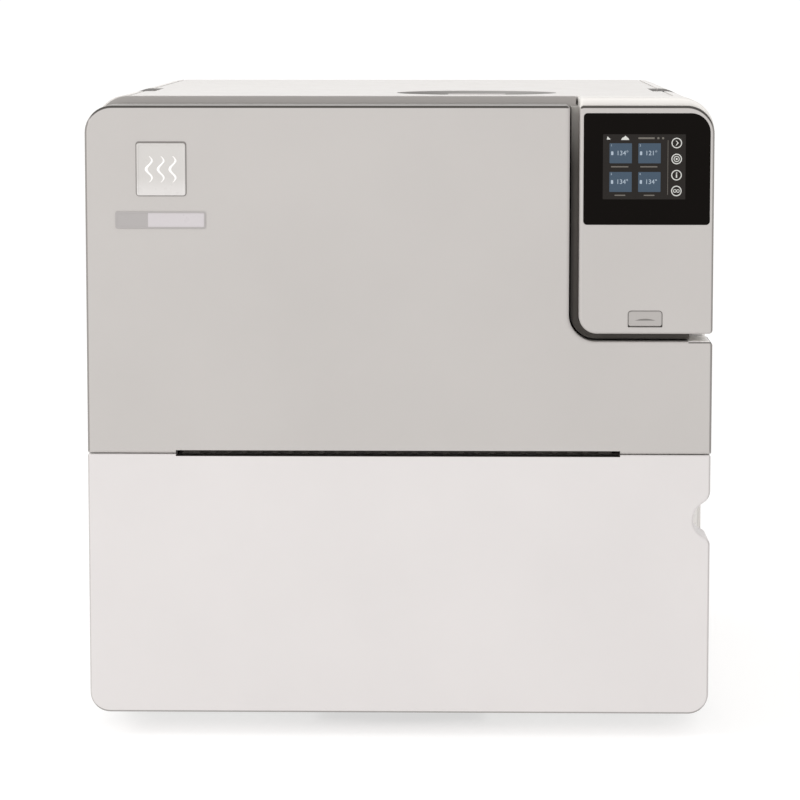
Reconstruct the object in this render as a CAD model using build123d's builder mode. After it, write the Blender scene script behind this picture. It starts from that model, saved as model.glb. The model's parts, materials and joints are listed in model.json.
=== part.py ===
"""Benchtop steam autoclave, front loading, about 17 litres.

Frame: origin at the middle of the footprint, on the surface the feet stand on.
+X to the right seen from the front, the front faces -Y, +Z up. Millimetres.
"""

import os
from math import hypot, sqrt

from build123d import *

os.makedirs("parts", exist_ok=True)

# ---- driving dimensions -------------------------------------------------------------
HALF_WIDTH = 240.0          # doors and fascia
FACE_Y = -299.0             # front face of doors and fascia
DOOR_BACK_Y = -252.0        # back face of both doors
FRAME_Y = -250.0            # front face of the fixed front frame
FRAME_BACK_Y = -240.0
REAR_Y = 286.5              # outer face of the rear panel
REAR_PANEL_T = 2.5
REARMOST_Y = 300.0          # tips of the rear spigots

DOOR_TOP_Z = 490.5
CROWN_Z = 496.5             # top surface of the casing
SEAM_Z = 223.2              # between chamber door and service door
DOOR_FOOT_Z = 20.5
GAP_LOW_Z = 310.3           # the gap under the control fascia
GAP_HIGH_Z = 316.4
DOOR_RIGHT_X = 130.0        # upper part of the chamber door
CONTROL_LEFT_X = 137.6

SIDE_X = 238.0              # outer face of the side panels
PANEL_T = 2.5
SHOULDER_R = 25.0
DOOR_CORNER_R = 21.0
FOOT_CORNER_R = 15.6
NOOK_R = 20.7               # concave corner of the chamber door
COVER_WALL = 3.0
COVER_FACE_T = 3.5
EDGE_R = 2.6

CHAMBER_X = -55.0
CHAMBER_Z = 356.0
CHAMBER_R = 118.0           # inside
CHAMBER_END_Y = 150.0
VESSEL_T = 2.0
FLANGE_R = 128.0
JACKET_R = 129.0

HINGE_X = -235.0
HINGE_Y = -250.0
KNUCKLE_R = 5.0
PIN_R = 3.0
PIN_CLEARANCE = 0.05
KNUCKLE_H = 12.0
KNUCKLE_GAP = 0.3
DOOR_HINGE_Z = (262.0, 438.0)
SERVICE_HINGE_Z = (46.0, 180.0)

PAN_Z = 22.0
PAN_T = 2.0

BAY_LEFT, BAY_RIGHT = -205.0, 195.0
BAY_LOW, BAY_HIGH = 37.0, 211.0
BAY_BACK_Y = -150.0
BAY_T = 2.5
BAY_FLOOR_Y = BAY_BACK_Y - BAY_T   # front face of the bay's back wall

DISH_X, DISH_Y, DISH_R = 59.5, -157.0, 64.0
DISH_FLOOR_Z = 488.5
LID_HALF_X = 211.0
LID_LOW_Z = 492.8

GLASS_X = (140.4, 236.9)
GLASS_Z = (399.9, 484.9)
GLASS_T = 1.8
DISPLAY_X = (155.0, 218.4)
DISPLAY_Z = (418.7, 469.0)
FLAP_X = (175.5, 200.9)
FLAP_Z = (322.1, 333.8)
FLAP_AXIS_Y, FLAP_AXIS_Z, FLAP_R = -297.7, 323.2, 1.1
FLAP_CORNER_R, FLAP_GAP = 2.2, 0.5

BADGE_X = (-200.2, -162.9)
BADGE_Z = (422.0, 461.8)
LABEL_X = (-216.8, -147.7)
LABEL_Z = (396.8, 409.7)
BADGE_CORNER_R, LABEL_CORNER_R = 1.8, 1.4
BADGE_FRONT_Y = -300.0
PLATE_SINK = 1.0            # how deep the badge and label sit in the door

SCALLOP_Z, SCALLOP_X, SCALLOP_R = 172.5, 241.5, 15.0
SCALLOP_LOW_R, SCALLOP_HIGH_R = 6.0, 11.0   # rounding of its two rims
GRIP_Z = (232.0, 304.0)            # finger recess behind the door's right lobe
POCKET_Z = (150.0, 200.0)          # finger recess behind the scallop
POCKET_Y = -214.0
POCKET_X = 221.0

STRIKER_X = 102.0
STRIKER_Z = (300.0, 412.0)
BOLT_Y = -235.0

FAN_X, FAN_Z, FAN_R = 0.0, 140.0, 54.0


def front_plane(y):
    """A plane facing the front at depth y, local x = X and local y = Z."""
    return Plane.XZ.offset(-y)


def save(piece, name):
    """Label one finished piece and write it as its own STEP file."""
    piece.part.label = name
    export_step(piece.part, f"parts/{name}.step")


def block(x, y, z, mode=Mode.ADD):
    """A box from three (low, high) pairs, joined to the current part."""
    with Locations((sum(x) / 2, sum(y) / 2, sum(z) / 2)):
        Box(x[1] - x[0], y[1] - y[0], z[1] - z[0], mode=mode)


def rod_y(x, z, y, radius, mode=Mode.ADD):
    """A round rod along Y."""
    with Locations((x, sum(y) / 2, z)):
        Cylinder(radius, y[1] - y[0], rotation=(90, 0, 0), mode=mode)


def rod_x(y, z, x, radius, mode=Mode.ADD):
    """A round rod along X."""
    with Locations((sum(x) / 2, y, z)):
        Cylinder(radius, x[1] - x[0], rotation=(0, 90, 0), mode=mode)


def rod_z(x, y, z, radius, mode=Mode.ADD):
    """A round rod along Z."""
    with Locations((x, y, sum(z) / 2)):
        Cylinder(radius, z[1] - z[0], mode=mode)


def rounded_window(x, z, radius, grow=0.0):
    """A round-cornered rectangle from two (low, high) pairs, grown by a margin."""
    with Locations((sum(x) / 2, sum(z) / 2)):
        RectangleRounded(x[1] - x[0] + 2 * grow, z[1] - z[0] + 2 * grow, radius + grow)


def rim(part, y):
    """The edges that lie in the plane at depth y."""
    return part.edges().filter_by_position(Axis.Y, y - 0.01, y + 0.01)


def hinge_notches(levels):
    """Cut the door's back left corner free of its knuckles."""
    for level in levels:
        top = level + 2 * KNUCKLE_H + KNUCKLE_GAP + 1
        block((-241, -221), (-260, -240), (level - 1, top), Mode.SUBTRACT)


# ---- outlines of the two doors -------------------------------------------------------
DOOR_OUTLINE = [
    (-HALF_WIDTH, SEAM_Z + 0.3), (HALF_WIDTH, SEAM_Z + 0.3), (HALF_WIDTH, GAP_LOW_Z),
    (DOOR_RIGHT_X, GAP_LOW_Z), (DOOR_RIGHT_X, DOOR_TOP_Z), (-HALF_WIDTH, DOOR_TOP_Z),
]
DOOR_RADII = [1.5, 1.5, 3.0, NOOK_R, 3.0, DOOR_CORNER_R]
SLOT_X = (-172.0, 170.0)           # the long dark vent slot at the seam
SLOT_UP, SLOT_DOWN = 2.7, 1.9        # how far it cuts into the upper and the lower door
SERVICE_TOP_Z = SEAM_Z - 0.3


# ---- chamber door --------------------------------------------------------------------
with BuildPart() as door_cover:
    with BuildSketch(front_plane(DOOR_BACK_Y)):
        with BuildLine():
            FilletPolyline(*DOOR_OUTLINE, radius=DOOR_RADII, close=True)
        make_face()
    extrude(amount=DOOR_BACK_Y - FACE_Y)
    fillet(rim(door_cover, FACE_Y), EDGE_R)
    with BuildSketch(front_plane(DOOR_BACK_Y)):
        with BuildLine():
            FilletPolyline(*DOOR_OUTLINE, radius=DOOR_RADII, close=True)
        make_face()
        offset(amount=-COVER_WALL)
    extrude(amount=DOOR_BACK_Y - FACE_Y - COVER_FACE_T, mode=Mode.SUBTRACT)
    block(SLOT_X, (-301, -250), (SEAM_Z - 1, SEAM_Z + SLOT_UP), Mode.SUBTRACT)
    with BuildSketch(front_plane(FACE_Y + PLATE_SINK)):
        rounded_window(BADGE_X, BADGE_Z, BADGE_CORNER_R)
        rounded_window(LABEL_X, LABEL_Z, LABEL_CORNER_R)
    extrude(amount=PLATE_SINK, mode=Mode.SUBTRACT)
    hinge_notches(DOOR_HINGE_Z)
save(door_cover, "door_cover")

with BuildPart() as badge_plate:
    with BuildSketch(front_plane(FACE_Y + PLATE_SINK)):
        rounded_window(BADGE_X, BADGE_Z, BADGE_CORNER_R)
    extrude(amount=FACE_Y + PLATE_SINK - BADGE_FRONT_Y)
    fillet(rim(badge_plate, BADGE_FRONT_Y), 0.8)
save(badge_plate, "badge_plate")

with BuildPart() as label_plate:
    with BuildSketch(front_plane(FACE_Y + PLATE_SINK)):
        rounded_window(LABEL_X, LABEL_Z, LABEL_CORNER_R)
    extrude(amount=PLATE_SINK + 0.5)
save(label_plate, "label_plate")

INNER_COVER_Y = (-255.0, DOOR_BACK_Y)
with BuildPart() as door_inner_cover:
    with BuildSketch(front_plane(DOOR_BACK_Y)):
        with BuildLine():
            FilletPolyline(*DOOR_OUTLINE, radius=DOOR_RADII, close=True)
        make_face()
        offset(amount=-COVER_WALL)
    extrude(amount=INNER_COVER_Y[1] - INNER_COVER_Y[0])
    rod_y(CHAMBER_X, CHAMBER_Z, (-260, -250), 126.0, Mode.SUBTRACT)
    for level in STRIKER_Z:
        block((STRIKER_X - 2.2, STRIKER_X + 2.2), (-260, -250), (level - 10.2, level + 10.2),
              Mode.SUBTRACT)
    hinge_notches(DOOR_HINGE_Z)
save(door_inner_cover, "door_inner_cover")

PLATE_R = 125.0
GASKET_R = (117.7, 123.8)
with BuildPart() as door_pressure_plate:
    rod_y(CHAMBER_X, CHAMBER_Z, (-264, -251.5), PLATE_R)
    rod_y(CHAMBER_X, CHAMBER_Z, (-258, -250), 104.0, Mode.SUBTRACT)
    rod_y(CHAMBER_X, CHAMBER_Z, (-286, -264), 14.0)
    with BuildSketch(front_plane(-257.0)):
        with Locations((CHAMBER_X, CHAMBER_Z)):
            Circle(GASKET_R[1] + 0.1)
            Circle(GASKET_R[0] - 0.1, mode=Mode.SUBTRACT)
    extrude(amount=-8, mode=Mode.SUBTRACT)
save(door_pressure_plate, "door_pressure_plate")

with BuildPart() as door_gasket:
    with BuildSketch(front_plane(-250.3)):
        with Locations((CHAMBER_X, CHAMBER_Z)):
            Circle(GASKET_R[1])
            Circle(GASKET_R[0], mode=Mode.SUBTRACT)
    extrude(amount=6.5)
    chamfer(rim(door_gasket, -250.3), 1.2)
save(door_gasket, "door_gasket")


def door_knuckles(levels):
    """The door's half of each hinge: an eye round the pin and an arm into the door."""
    for level in levels:
        eye = (level + KNUCKLE_H + KNUCKLE_GAP, level + 2 * KNUCKLE_H + KNUCKLE_GAP)
        rod_z(HINGE_X, HINGE_Y, eye, KNUCKLE_R)
        block((-237.5, -222), (-259, -252.5), eye)
        rod_z(HINGE_X, HINGE_Y, (eye[0] - 1, eye[1] + 1), PIN_R + PIN_CLEARANCE, Mode.SUBTRACT)


with BuildPart() as door_hinge_frame:
    block((-224, -188), (-276, -255.3), (266, 462.3))
    block((-217, -195), (-280, -261), (282, 446), Mode.SUBTRACT)
    block((-224, -28), (-276, -266.3), (340, 372))
    rod_y(CHAMBER_X, CHAMBER_Z, (-280, -260), 14.2, Mode.SUBTRACT)
    door_knuckles(DOOR_HINGE_Z)
save(door_hinge_frame, "door_hinge_frame")

with BuildPart() as door_strikers:
    for level in STRIKER_Z:
        block((STRIKER_X - 12, STRIKER_X + 12), (-259, -255.2), (level - 14, level + 14))
        block((STRIKER_X - 2, STRIKER_X + 2), (-256, -229), (level - 10, level + 10))
        rod_x(BOLT_Y, level, (STRIKER_X - 5, STRIKER_X + 5), 4.0, Mode.SUBTRACT)
save(door_strikers, "door_strikers")

# ---- hinges on the casing --------------------------------------------------------------
HINGE_LEVELS = DOOR_HINGE_Z + SERVICE_HINGE_Z
with BuildPart() as hinge_brackets:
    for level in HINGE_LEVELS:
        eye = (level, level + KNUCKLE_H)
        rod_z(HINGE_X, HINGE_Y, eye, KNUCKLE_R)
        block((-235, -229.5), (HINGE_Y, -238), eye)
        block((-235, -208), (FRAME_BACK_Y, -237.5), (level - 4, level + KNUCKLE_H + 4))
        rod_z(HINGE_X, HINGE_Y, (level - 1, level + KNUCKLE_H + 1), PIN_R, Mode.SUBTRACT)
save(hinge_brackets, "hinge_brackets")

with BuildPart() as hinge_pins:
    for level in HINGE_LEVELS:
        rod_z(HINGE_X, HINGE_Y, (level, level + 2 * KNUCKLE_H), PIN_R)
save(hinge_pins, "hinge_pins")

# ---- service door ----------------------------------------------------------------------
SERVICE_X = (-HALF_WIDTH, HALF_WIDTH - 0.5)
SERVICE_Z = (DOOR_FOOT_Z, SERVICE_TOP_Z)
SERVICE_OUTLINE = [
    (SERVICE_X[0], SERVICE_Z[0]), (SERVICE_X[1], SERVICE_Z[0]),
    (SERVICE_X[1], SERVICE_Z[1]), (SERVICE_X[0], SERVICE_Z[1]),
]
SERVICE_RADII = [FOOT_CORNER_R, FOOT_CORNER_R, 1.5, 1.5]


def scallop_corners(sketch):
    """The two corners where the finger scallop meets the door's right edge."""
    edge = sketch.vertices().filter_by_position(Axis.X, SERVICE_X[1] - 0.1, SERVICE_X[1] + 0.1)
    near = [v for v in edge if abs(v.Y - SCALLOP_Z) < SCALLOP_R + 1]
    return sorted(near, key=lambda v: v.Y)


with BuildPart() as service_door:
    with BuildSketch(front_plane(DOOR_BACK_Y)) as face:
        with BuildLine():
            FilletPolyline(*SERVICE_OUTLINE, radius=SERVICE_RADII, close=True)
        make_face()
        with Locations((SCALLOP_X, SCALLOP_Z)):
            Circle(SCALLOP_R, mode=Mode.SUBTRACT)
        fillet(scallop_corners(face.sketch_local)[0], SCALLOP_LOW_R)
        fillet(scallop_corners(face.sketch_local)[-1], SCALLOP_HIGH_R)
    extrude(amount=DOOR_BACK_Y - FACE_Y)
    fillet(rim(service_door, FACE_Y), 2.0)
    with BuildSketch(front_plane(DOOR_BACK_Y)):
        add(face.sketch_local)
        offset(amount=-COVER_WALL)
    extrude(amount=DOOR_BACK_Y - FACE_Y - COVER_FACE_T, mode=Mode.SUBTRACT)
    block(SLOT_X, (-301, -250), (SEAM_Z - SLOT_DOWN, SEAM_Z + 1), Mode.SUBTRACT)
    hinge_notches(SERVICE_HINGE_Z)
    for level in SERVICE_HINGE_Z:
        block((-237.5, -205), (-268, -264), (level - 3, level + 2 * KNUCKLE_H + 4))
        block((-210, -205), (-296, -264), (level - 3, level + 2 * KNUCKLE_H + 4))
        eye = (level + KNUCKLE_H + KNUCKLE_GAP, level + 2 * KNUCKLE_H + KNUCKLE_GAP)
        block((-237.5, -226), (-268, -252.5), eye)
        rod_z(HINGE_X, HINGE_Y, eye, KNUCKLE_R)
        rod_z(HINGE_X, HINGE_Y, (eye[0] - 1, eye[1] + 1), PIN_R + PIN_CLEARANCE, Mode.SUBTRACT)
save(service_door, "service_door")

# ---- front frame -----------------------------------------------------------------------
FRAME_RIGHT_X = SIDE_X - PANEL_T - 0.2
FRAME_TOP_Z = CROWN_Z - 0.3


def finger_pocket(z):
    """A cup open to the front and to the right, for fingers behind a door's edge."""
    block((POCKET_X, FRAME_RIGHT_X), (FRAME_Y, POCKET_Y), (z[0] - 2, z[1] + 2))
    block((POCKET_X + 2, HALF_WIDTH), (FRAME_Y - 5, POCKET_Y - 2), z, Mode.SUBTRACT)


with BuildPart() as front_frame:
    with BuildSketch(front_plane(FRAME_BACK_Y)):
        with BuildLine():
            FilletPolyline(
                (-235.3, PAN_Z), (FRAME_RIGHT_X, PAN_Z), (FRAME_RIGHT_X, 489.5), (136, 489.5),
                (136, FRAME_TOP_Z), (-235.3, FRAME_TOP_Z),
                radius=[6, 6, 19, 1, 1, 24], close=True)
        make_face()
    extrude(amount=FRAME_BACK_Y - FRAME_Y)
    block((-236, -229), (-252, -243), (20, 498), Mode.SUBTRACT)
    rod_y(CHAMBER_X, CHAMBER_Z, (-255, -235), JACKET_R, Mode.SUBTRACT)
    block((BAY_LEFT + BAY_T, BAY_RIGHT - BAY_T), (-255, -235), (BAY_LOW + BAY_T, BAY_HIGH - BAY_T),
          Mode.SUBTRACT)
    for level in HINGE_LEVELS:
        block((-236, -229), (-252, -235), (level - 0.2, level + KNUCKLE_H + 0.2), Mode.SUBTRACT)
    for level in STRIKER_Z:
        block((STRIKER_X - 6, STRIKER_X + 7), (-255, -235), (level - 14, level + 14), Mode.SUBTRACT)
    finger_pocket(GRIP_Z)
    finger_pocket(POCKET_Z)
save(front_frame, "front_frame")

VENT_Z = (SEAM_Z - 1.5, SEAM_Z + 1.1)
with BuildPart() as vent_strip:
    block((SLOT_X[0] + 4, SLOT_X[1] - 6), (-286, FRAME_Y), VENT_Z)
    with Locations((0, -286, SEAM_Z)):
        with GridLocations(12, 1, 26, 1):
            Box(8, 8, 10, mode=Mode.SUBTRACT)
save(vent_strip, "vent_strip")

with BuildPart() as gap_trim:
    with BuildSketch(front_plane(FRAME_Y)):
        with BuildLine():
            FilletPolyline(
                (131.5, 489), (131.5, 311.6), (223, 311.6), (223, GAP_HIGH_Z - 0.2),
                (CONTROL_LEFT_X - 0.2, GAP_HIGH_Z - 0.2), (CONTROL_LEFT_X - 0.2, 489),
                radius=[0, NOOK_R - 1.4, 0, 0, 14.2, 0], close=True)
        make_face()
    extrude(amount=36)
save(gap_trim, "gap_trim")

# ---- control head ----------------------------------------------------------------------
with BuildPart() as control_housing:
    with BuildSketch(front_plane(FRAME_Y)):
        with BuildLine():
            FilletPolyline(
                (CONTROL_LEFT_X, GAP_HIGH_Z), (HALF_WIDTH, GAP_HIGH_Z), (HALF_WIDTH, CROWN_Z),
                (CONTROL_LEFT_X, CROWN_Z),
                radius=[13.8, 2.5, 26, 3.0], close=True)
        make_face()
    extrude(amount=45)
    fillet(rim(control_housing, FRAME_Y - 45).sort_by(Axis.Z)[-3:], 2.2)
    with BuildSketch(front_plane(FRAME_Y)):
        with BuildLine():
            FilletPolyline(
                (CONTROL_LEFT_X + 2.5, GAP_HIGH_Z + 2.5), (HALF_WIDTH - 2.5, GAP_HIGH_Z + 2.5),
                (HALF_WIDTH - 2.5, DOOR_TOP_Z - 2), (CONTROL_LEFT_X + 2.5, DOOR_TOP_Z - 2),
                radius=[11.3, 1.5, 21, 1.5], close=True)
        make_face()
    extrude(amount=46, mode=Mode.SUBTRACT)
    with BuildSketch(front_plane(FRAME_Y)):
        with BuildLine():
            FilletPolyline(
                (CONTROL_LEFT_X, CROWN_Z), (SIDE_X, CROWN_Z), (SIDE_X, GAP_HIGH_Z),
                (SIDE_X - PANEL_T, GAP_HIGH_Z), (SIDE_X - PANEL_T, CROWN_Z - PANEL_T),
                (CONTROL_LEFT_X, CROWN_Z - PANEL_T),
                radius=[0, SHOULDER_R, 0, 0, SHOULDER_R - PANEL_T, 0], close=True)
        make_face()
    extrude(amount=FRAME_Y - FRAME_BACK_Y)
save(control_housing, "control_housing")

FASCIA_Y = (FACE_Y, -295.1)
with BuildPart() as control_fascia:
    with BuildSketch(front_plane(FASCIA_Y[1])):
        with BuildLine():
            FilletPolyline(
                (CONTROL_LEFT_X, GAP_HIGH_Z), (HALF_WIDTH, GAP_HIGH_Z), (HALF_WIDTH, DOOR_TOP_Z),
                (CONTROL_LEFT_X, DOOR_TOP_Z),
                radius=[13.8, 3.0, 21.4, 3.0], close=True)
        make_face()
    extrude(amount=FASCIA_Y[1] - FASCIA_Y[0])
    fillet(rim(control_fascia, FACE_Y), 2.2)
    with BuildSketch(front_plane(FACE_Y + GLASS_T)):
        with BuildLine():
            FilletPolyline(
                (GLASS_X[0], GLASS_Z[0]), (GLASS_X[1], GLASS_Z[0]), (GLASS_X[1], GLASS_Z[1]),
                (GLASS_X[0], GLASS_Z[1]),
                radius=[3, 3, 15, 3], close=True)
        make_face()
    extrude(amount=5, mode=Mode.SUBTRACT)
    block((DISPLAY_X[0] - 4, DISPLAY_X[1] + 4), (-301, -290), (DISPLAY_Z[0] - 5, DISPLAY_Z[1] + 5),
          Mode.SUBTRACT)
    with BuildSketch(front_plane(FASCIA_Y[1])):
        rounded_window(FLAP_X, FLAP_Z, FLAP_CORNER_R, grow=FLAP_GAP)
    extrude(amount=FASCIA_Y[1] - FASCIA_Y[0], mode=Mode.SUBTRACT)
    # square lower corners, so the flap's full width can swing down through them
    block((FLAP_X[0] - FLAP_GAP, FLAP_X[1] + FLAP_GAP), (-301, -290),
          (FLAP_Z[0] - FLAP_GAP, FLAP_AXIS_Z + 2), Mode.SUBTRACT)
save(control_fascia, "control_fascia")

with BuildPart() as screen_glass:
    with BuildSketch(front_plane(FACE_Y + GLASS_T)):
        with BuildLine():
            FilletPolyline(
                (GLASS_X[0], GLASS_Z[0]), (GLASS_X[1], GLASS_Z[0]), (GLASS_X[1], GLASS_Z[1]),
                (GLASS_X[0], GLASS_Z[1]),
                radius=[3, 3, 15, 3], close=True)
        make_face()
        offset(amount=-0.15)
    extrude(amount=GLASS_T)
    chamfer(rim(screen_glass, FACE_Y), 0.4)
save(screen_glass, "screen_glass")

BOARD_Y = (-289.0, -287.4)
with BuildPart() as display_module:
    block((DISPLAY_X[0] - 3, DISPLAY_X[1] + 3), (FACE_Y + GLASS_T, BOARD_Y[0]),
          (DISPLAY_Z[0] - 4, DISPLAY_Z[1] + 4))
    block((145, 230), BOARD_Y, (345, 481))
    for x, z in ((160, 360), (195, 372), (215, 352)):
        block((x, x + 14), (BOARD_Y[1], BOARD_Y[1] + 3.4), (z, z + 10))
save(display_module, "display_module")

with BuildPart() as usb_flap:
    block(FLAP_X, (FLAP_AXIS_Y - FLAP_R, FLAP_AXIS_Y + FLAP_R), (FLAP_AXIS_Z, FLAP_Z[1]))
    rod_x(FLAP_AXIS_Y, FLAP_AXIS_Z, FLAP_X, FLAP_R)
    with BuildSketch(front_plane(FLAP_AXIS_Y + FLAP_R)):
        rounded_window(FLAP_X, FLAP_Z, FLAP_CORNER_R)
    extrude(amount=2 * FLAP_R, mode=Mode.INTERSECT)
save(usb_flap, "usb_flap")

with BuildPart() as usb_socket:
    middle = sum(FLAP_X) / 2
    block((middle - 8.5, middle + 8.5), (-294, -278), (322.5, 332.5))
    block((middle - 6.2, middle + 6.2), (-295, -282), (325, 330), Mode.SUBTRACT)
    block((middle - 16, middle + 16), (-278, -276.4), (320.5, 340))
save(usb_socket, "usb_socket")

# ---- casing ----------------------------------------------------------------------------
INNER_SIDE_X = SIDE_X - PANEL_T
LEDGE_X = 196.0
NOTCH_Y, NOTCH_LENGTH = -65.0, 96.0
NOTCH_OUT_X = 222.5


def side_panel(side, front_y):
    """One folded side panel: wall, rounded shoulder, rebate and ledge for the lid."""
    with BuildPart() as panel:
        with BuildSketch(front_plane(REAR_Y)):
            with BuildLine():
                FilletPolyline(
                    (side * SIDE_X, PAN_Z), (side * SIDE_X, CROWN_Z), (side * 212, CROWN_Z),
                    (side * 212, CROWN_Z - 4), (side * LEDGE_X, CROWN_Z - 4),
                    (side * LEDGE_X, CROWN_Z - 6.5), (side * 214.5, CROWN_Z - 6.5),
                    (side * 214.5, CROWN_Z - PANEL_T), (side * INNER_SIDE_X, CROWN_Z - PANEL_T),
                    (side * INNER_SIDE_X, PAN_Z),
                    radius=[0, SHOULDER_R, 0, 0, 0, 0, 0, 0, 20, 0], close=True)
            make_face()
        extrude(amount=REAR_Y - front_y)
        block(sorted((side * LEDGE_X, side * 225)), (NOTCH_Y - 52, NOTCH_Y + 52),
              (CROWN_Z - 9, CROWN_Z - 4.1))
        block(sorted((side * 203.5, side * NOTCH_OUT_X)),
              (NOTCH_Y - NOTCH_LENGTH / 2, NOTCH_Y + NOTCH_LENGTH / 2),
              (CROWN_Z - 6.5, CROWN_Z + 2), Mode.SUBTRACT)
        block((-214.6, 214.6), (REAR_Y - REAR_PANEL_T - 0.2, REAR_Y + 1),
              (CROWN_Z - 7, CROWN_Z - 3.9), Mode.SUBTRACT)
        with Locations((side * SIDE_X, 190, 110)):
            with GridLocations(1, 80, 1, 2):
                with Locations(*[(0, 0, 12 * step) for step in range(-4, 5)]):
                    Box(12, 56, 3.5, mode=Mode.SUBTRACT)
    return panel


with BuildPart() as side_panel_left:
    add(side_panel(-1, -243.3).part)
    block((-SIDE_X - 1, -190), (-245, FRAME_BACK_Y + 0.2), (466, CROWN_Z + 1), Mode.SUBTRACT)
save(side_panel_left, "side_panel_left")

with BuildPart() as side_panel_right:
    add(side_panel(1, -239.8).part)
    for z in (GRIP_Z, POCKET_Z):
        block((SIDE_X - 4, SIDE_X + 1), (-245, POCKET_Y), (z[0] - 2, z[1] + 2), Mode.SUBTRACT)
save(side_panel_right, "side_panel_right")

LID_Y = (-239.5, REAR_Y)
with BuildPart() as top_lid:
    block((-LID_HALF_X, LID_HALF_X), LID_Y, (LID_LOW_Z, CROWN_Z))
    for x in (-LID_HALF_X, LID_HALF_X):
        with Locations((x, NOTCH_Y, CROWN_Z)):
            Box(15, NOTCH_LENGTH, 12, mode=Mode.SUBTRACT)
    fillet(top_lid.faces().sort_by(Axis.Z)[-1].edges(), 1.0)
    block((-194, 194), (-236, 280), (CROWN_Z - 10, LID_LOW_Z))
    block((-191.5, 191.5), (-233.5, 277.5), (CROWN_Z - 11, LID_LOW_Z), Mode.SUBTRACT)
    rod_z(DISH_X, DISH_Y, (DISH_FLOOR_Z - 2.5, LID_LOW_Z), DISH_R + 2.5)
    rod_z(DISH_X, DISH_Y, (DISH_FLOOR_Z, CROWN_Z + 1), DISH_R, Mode.SUBTRACT)
    rod_z(DISH_X, DISH_Y, (480, CROWN_Z + 1), 22.0, Mode.SUBTRACT)
save(top_lid, "top_lid")

with BuildPart() as fill_cap:
    rod_z(DISH_X, DISH_Y, (DISH_FLOOR_Z + 0.3, DISH_FLOOR_Z + 2.8), 30.0)
    chamfer(fill_cap.edges().sort_by(Axis.Z)[-1], 1.0)
    with Locations((DISH_X, DISH_Y, DISH_FLOOR_Z + 4.5)):
        Box(46, 9, 5)
    fillet(fill_cap.edges().filter_by(Axis.Z), 3.0)
    rod_z(DISH_X, DISH_Y, (480, DISH_FLOOR_Z + 0.5), 21.0)
    rod_z(DISH_X, DISH_Y, (479, DISH_FLOOR_Z - 0.5), 18.5, Mode.SUBTRACT)
save(fill_cap, "fill_cap")

SCREW_POINTS = [(side * 226, z) for side in (-1, 1) for z in (50, 180, 310, 440)]
INLET_X, INLET_Z = -165.0, 72.0
SPIGOT_X, SPIGOT_Z = (150.0, 190.0), 64.0
VALVE_Z = CHAMBER_Z + 64.0
GRILLE_PITCH = 11.0
GRILLE_POINTS = [
    (FAN_X + GRILLE_PITCH * i, FAN_Z + GRILLE_PITCH * j)
    for i in range(-5, 6) for j in range(-5, 6) if hypot(i, j) * GRILLE_PITCH < FAN_R - 2]


def rear_holes(points, radius):
    """Round holes through the rear panel."""
    for x, z in points:
        rod_y(x, z, (REAR_Y - 5, REAR_Y + 1), radius, Mode.SUBTRACT)


with BuildPart() as rear_panel:
    block((-235.3, 235.3), (REAR_Y - REAR_PANEL_T, REAR_Y), (PAN_Z, CROWN_Z - 6.7))
    fillet(rear_panel.edges().filter_by(Axis.Y).group_by(Axis.Z)[-1], 20.0)
    block((-211.8, 211.8), (REAR_Y - REAR_PANEL_T, REAR_Y), (480, LID_LOW_Z - 0.3))
    rear_holes(GRILLE_POINTS, 4.2)
    rear_holes(SCREW_POINTS, 2.1)
    rear_holes([(x, SPIGOT_Z) for x in SPIGOT_X], 7.3)
    rear_holes([(CHAMBER_X, VALVE_Z)], 8.6)
    block((INLET_X - 13.3, INLET_X + 13.3), (REAR_Y - 5, REAR_Y + 1), (INLET_Z - 10.3, INLET_Z + 10.3),
          Mode.SUBTRACT)
save(rear_panel, "rear_panel")

with BuildPart() as casing_screws:
    for x, z in SCREW_POINTS:
        rod_y(x, z, (REAR_Y - 6, REAR_Y), 1.9)
        rod_y(x, z, (REAR_Y, REAR_Y + 2.2), 4.0)
        block((x - 3, x + 3), (REAR_Y + 1.2, REAR_Y + 3), (z - 0.5, z + 0.5), Mode.SUBTRACT)
save(casing_screws, "casing_screws")

FILTER_HALF_X = 71.5
FILTER_Y = (-232.0, -72.0)
with BuildPart() as base_pan:
    block((-INNER_SIDE_X, INNER_SIDE_X), (FRAME_BACK_Y, REAR_Y - REAR_PANEL_T), (PAN_Z, PAN_Z + 14))
    block((-INNER_SIDE_X + PAN_T, INNER_SIDE_X - PAN_T),
          (FRAME_BACK_Y + PAN_T, REAR_Y - REAR_PANEL_T - PAN_T), (PAN_Z + PAN_T, PAN_Z + 15),
          Mode.SUBTRACT)
    block((-58, 58), (-222, -82), (PAN_Z - 1, PAN_Z + 5), Mode.SUBTRACT)
    for side in (-1, 1):
        rail = sorted((side * (FILTER_HALF_X + 1), side * (FILTER_HALF_X + 3)))
        foot = sorted((side * (FILTER_HALF_X - 5), side * (FILTER_HALF_X + 3)))
        block(rail, FILTER_Y, (7, PAN_Z))
        block(foot, FILTER_Y, (7, 9))
save(base_pan, "base_pan")

FOOT_POINTS = [(x, y) for x in (-190, 190) for y in (-160, 230)]
with BuildPart() as rubber_feet:
    for x, y in FOOT_POINTS:
        with Locations((x, y, PAN_Z / 2)):
            Cone(17, 20, PAN_Z)
save(rubber_feet, "rubber_feet")

with BuildPart() as dust_filter:
    block((-FILTER_HALF_X, FILTER_HALF_X), FILTER_Y, (9.4, 19.4))
    block((-60, 60), (FILTER_Y[0] + 12, FILTER_Y[1] - 8), (12, 20), Mode.SUBTRACT)
    with Locations((0, -147, 10)):
        with GridLocations(24, 22, 5, 6):
            Box(17, 15, 6, mode=Mode.SUBTRACT)
    block((-30, 30), (FILTER_Y[0] - 8, FILTER_Y[0]), (10, 14))
save(dust_filter, "dust_filter")

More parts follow.
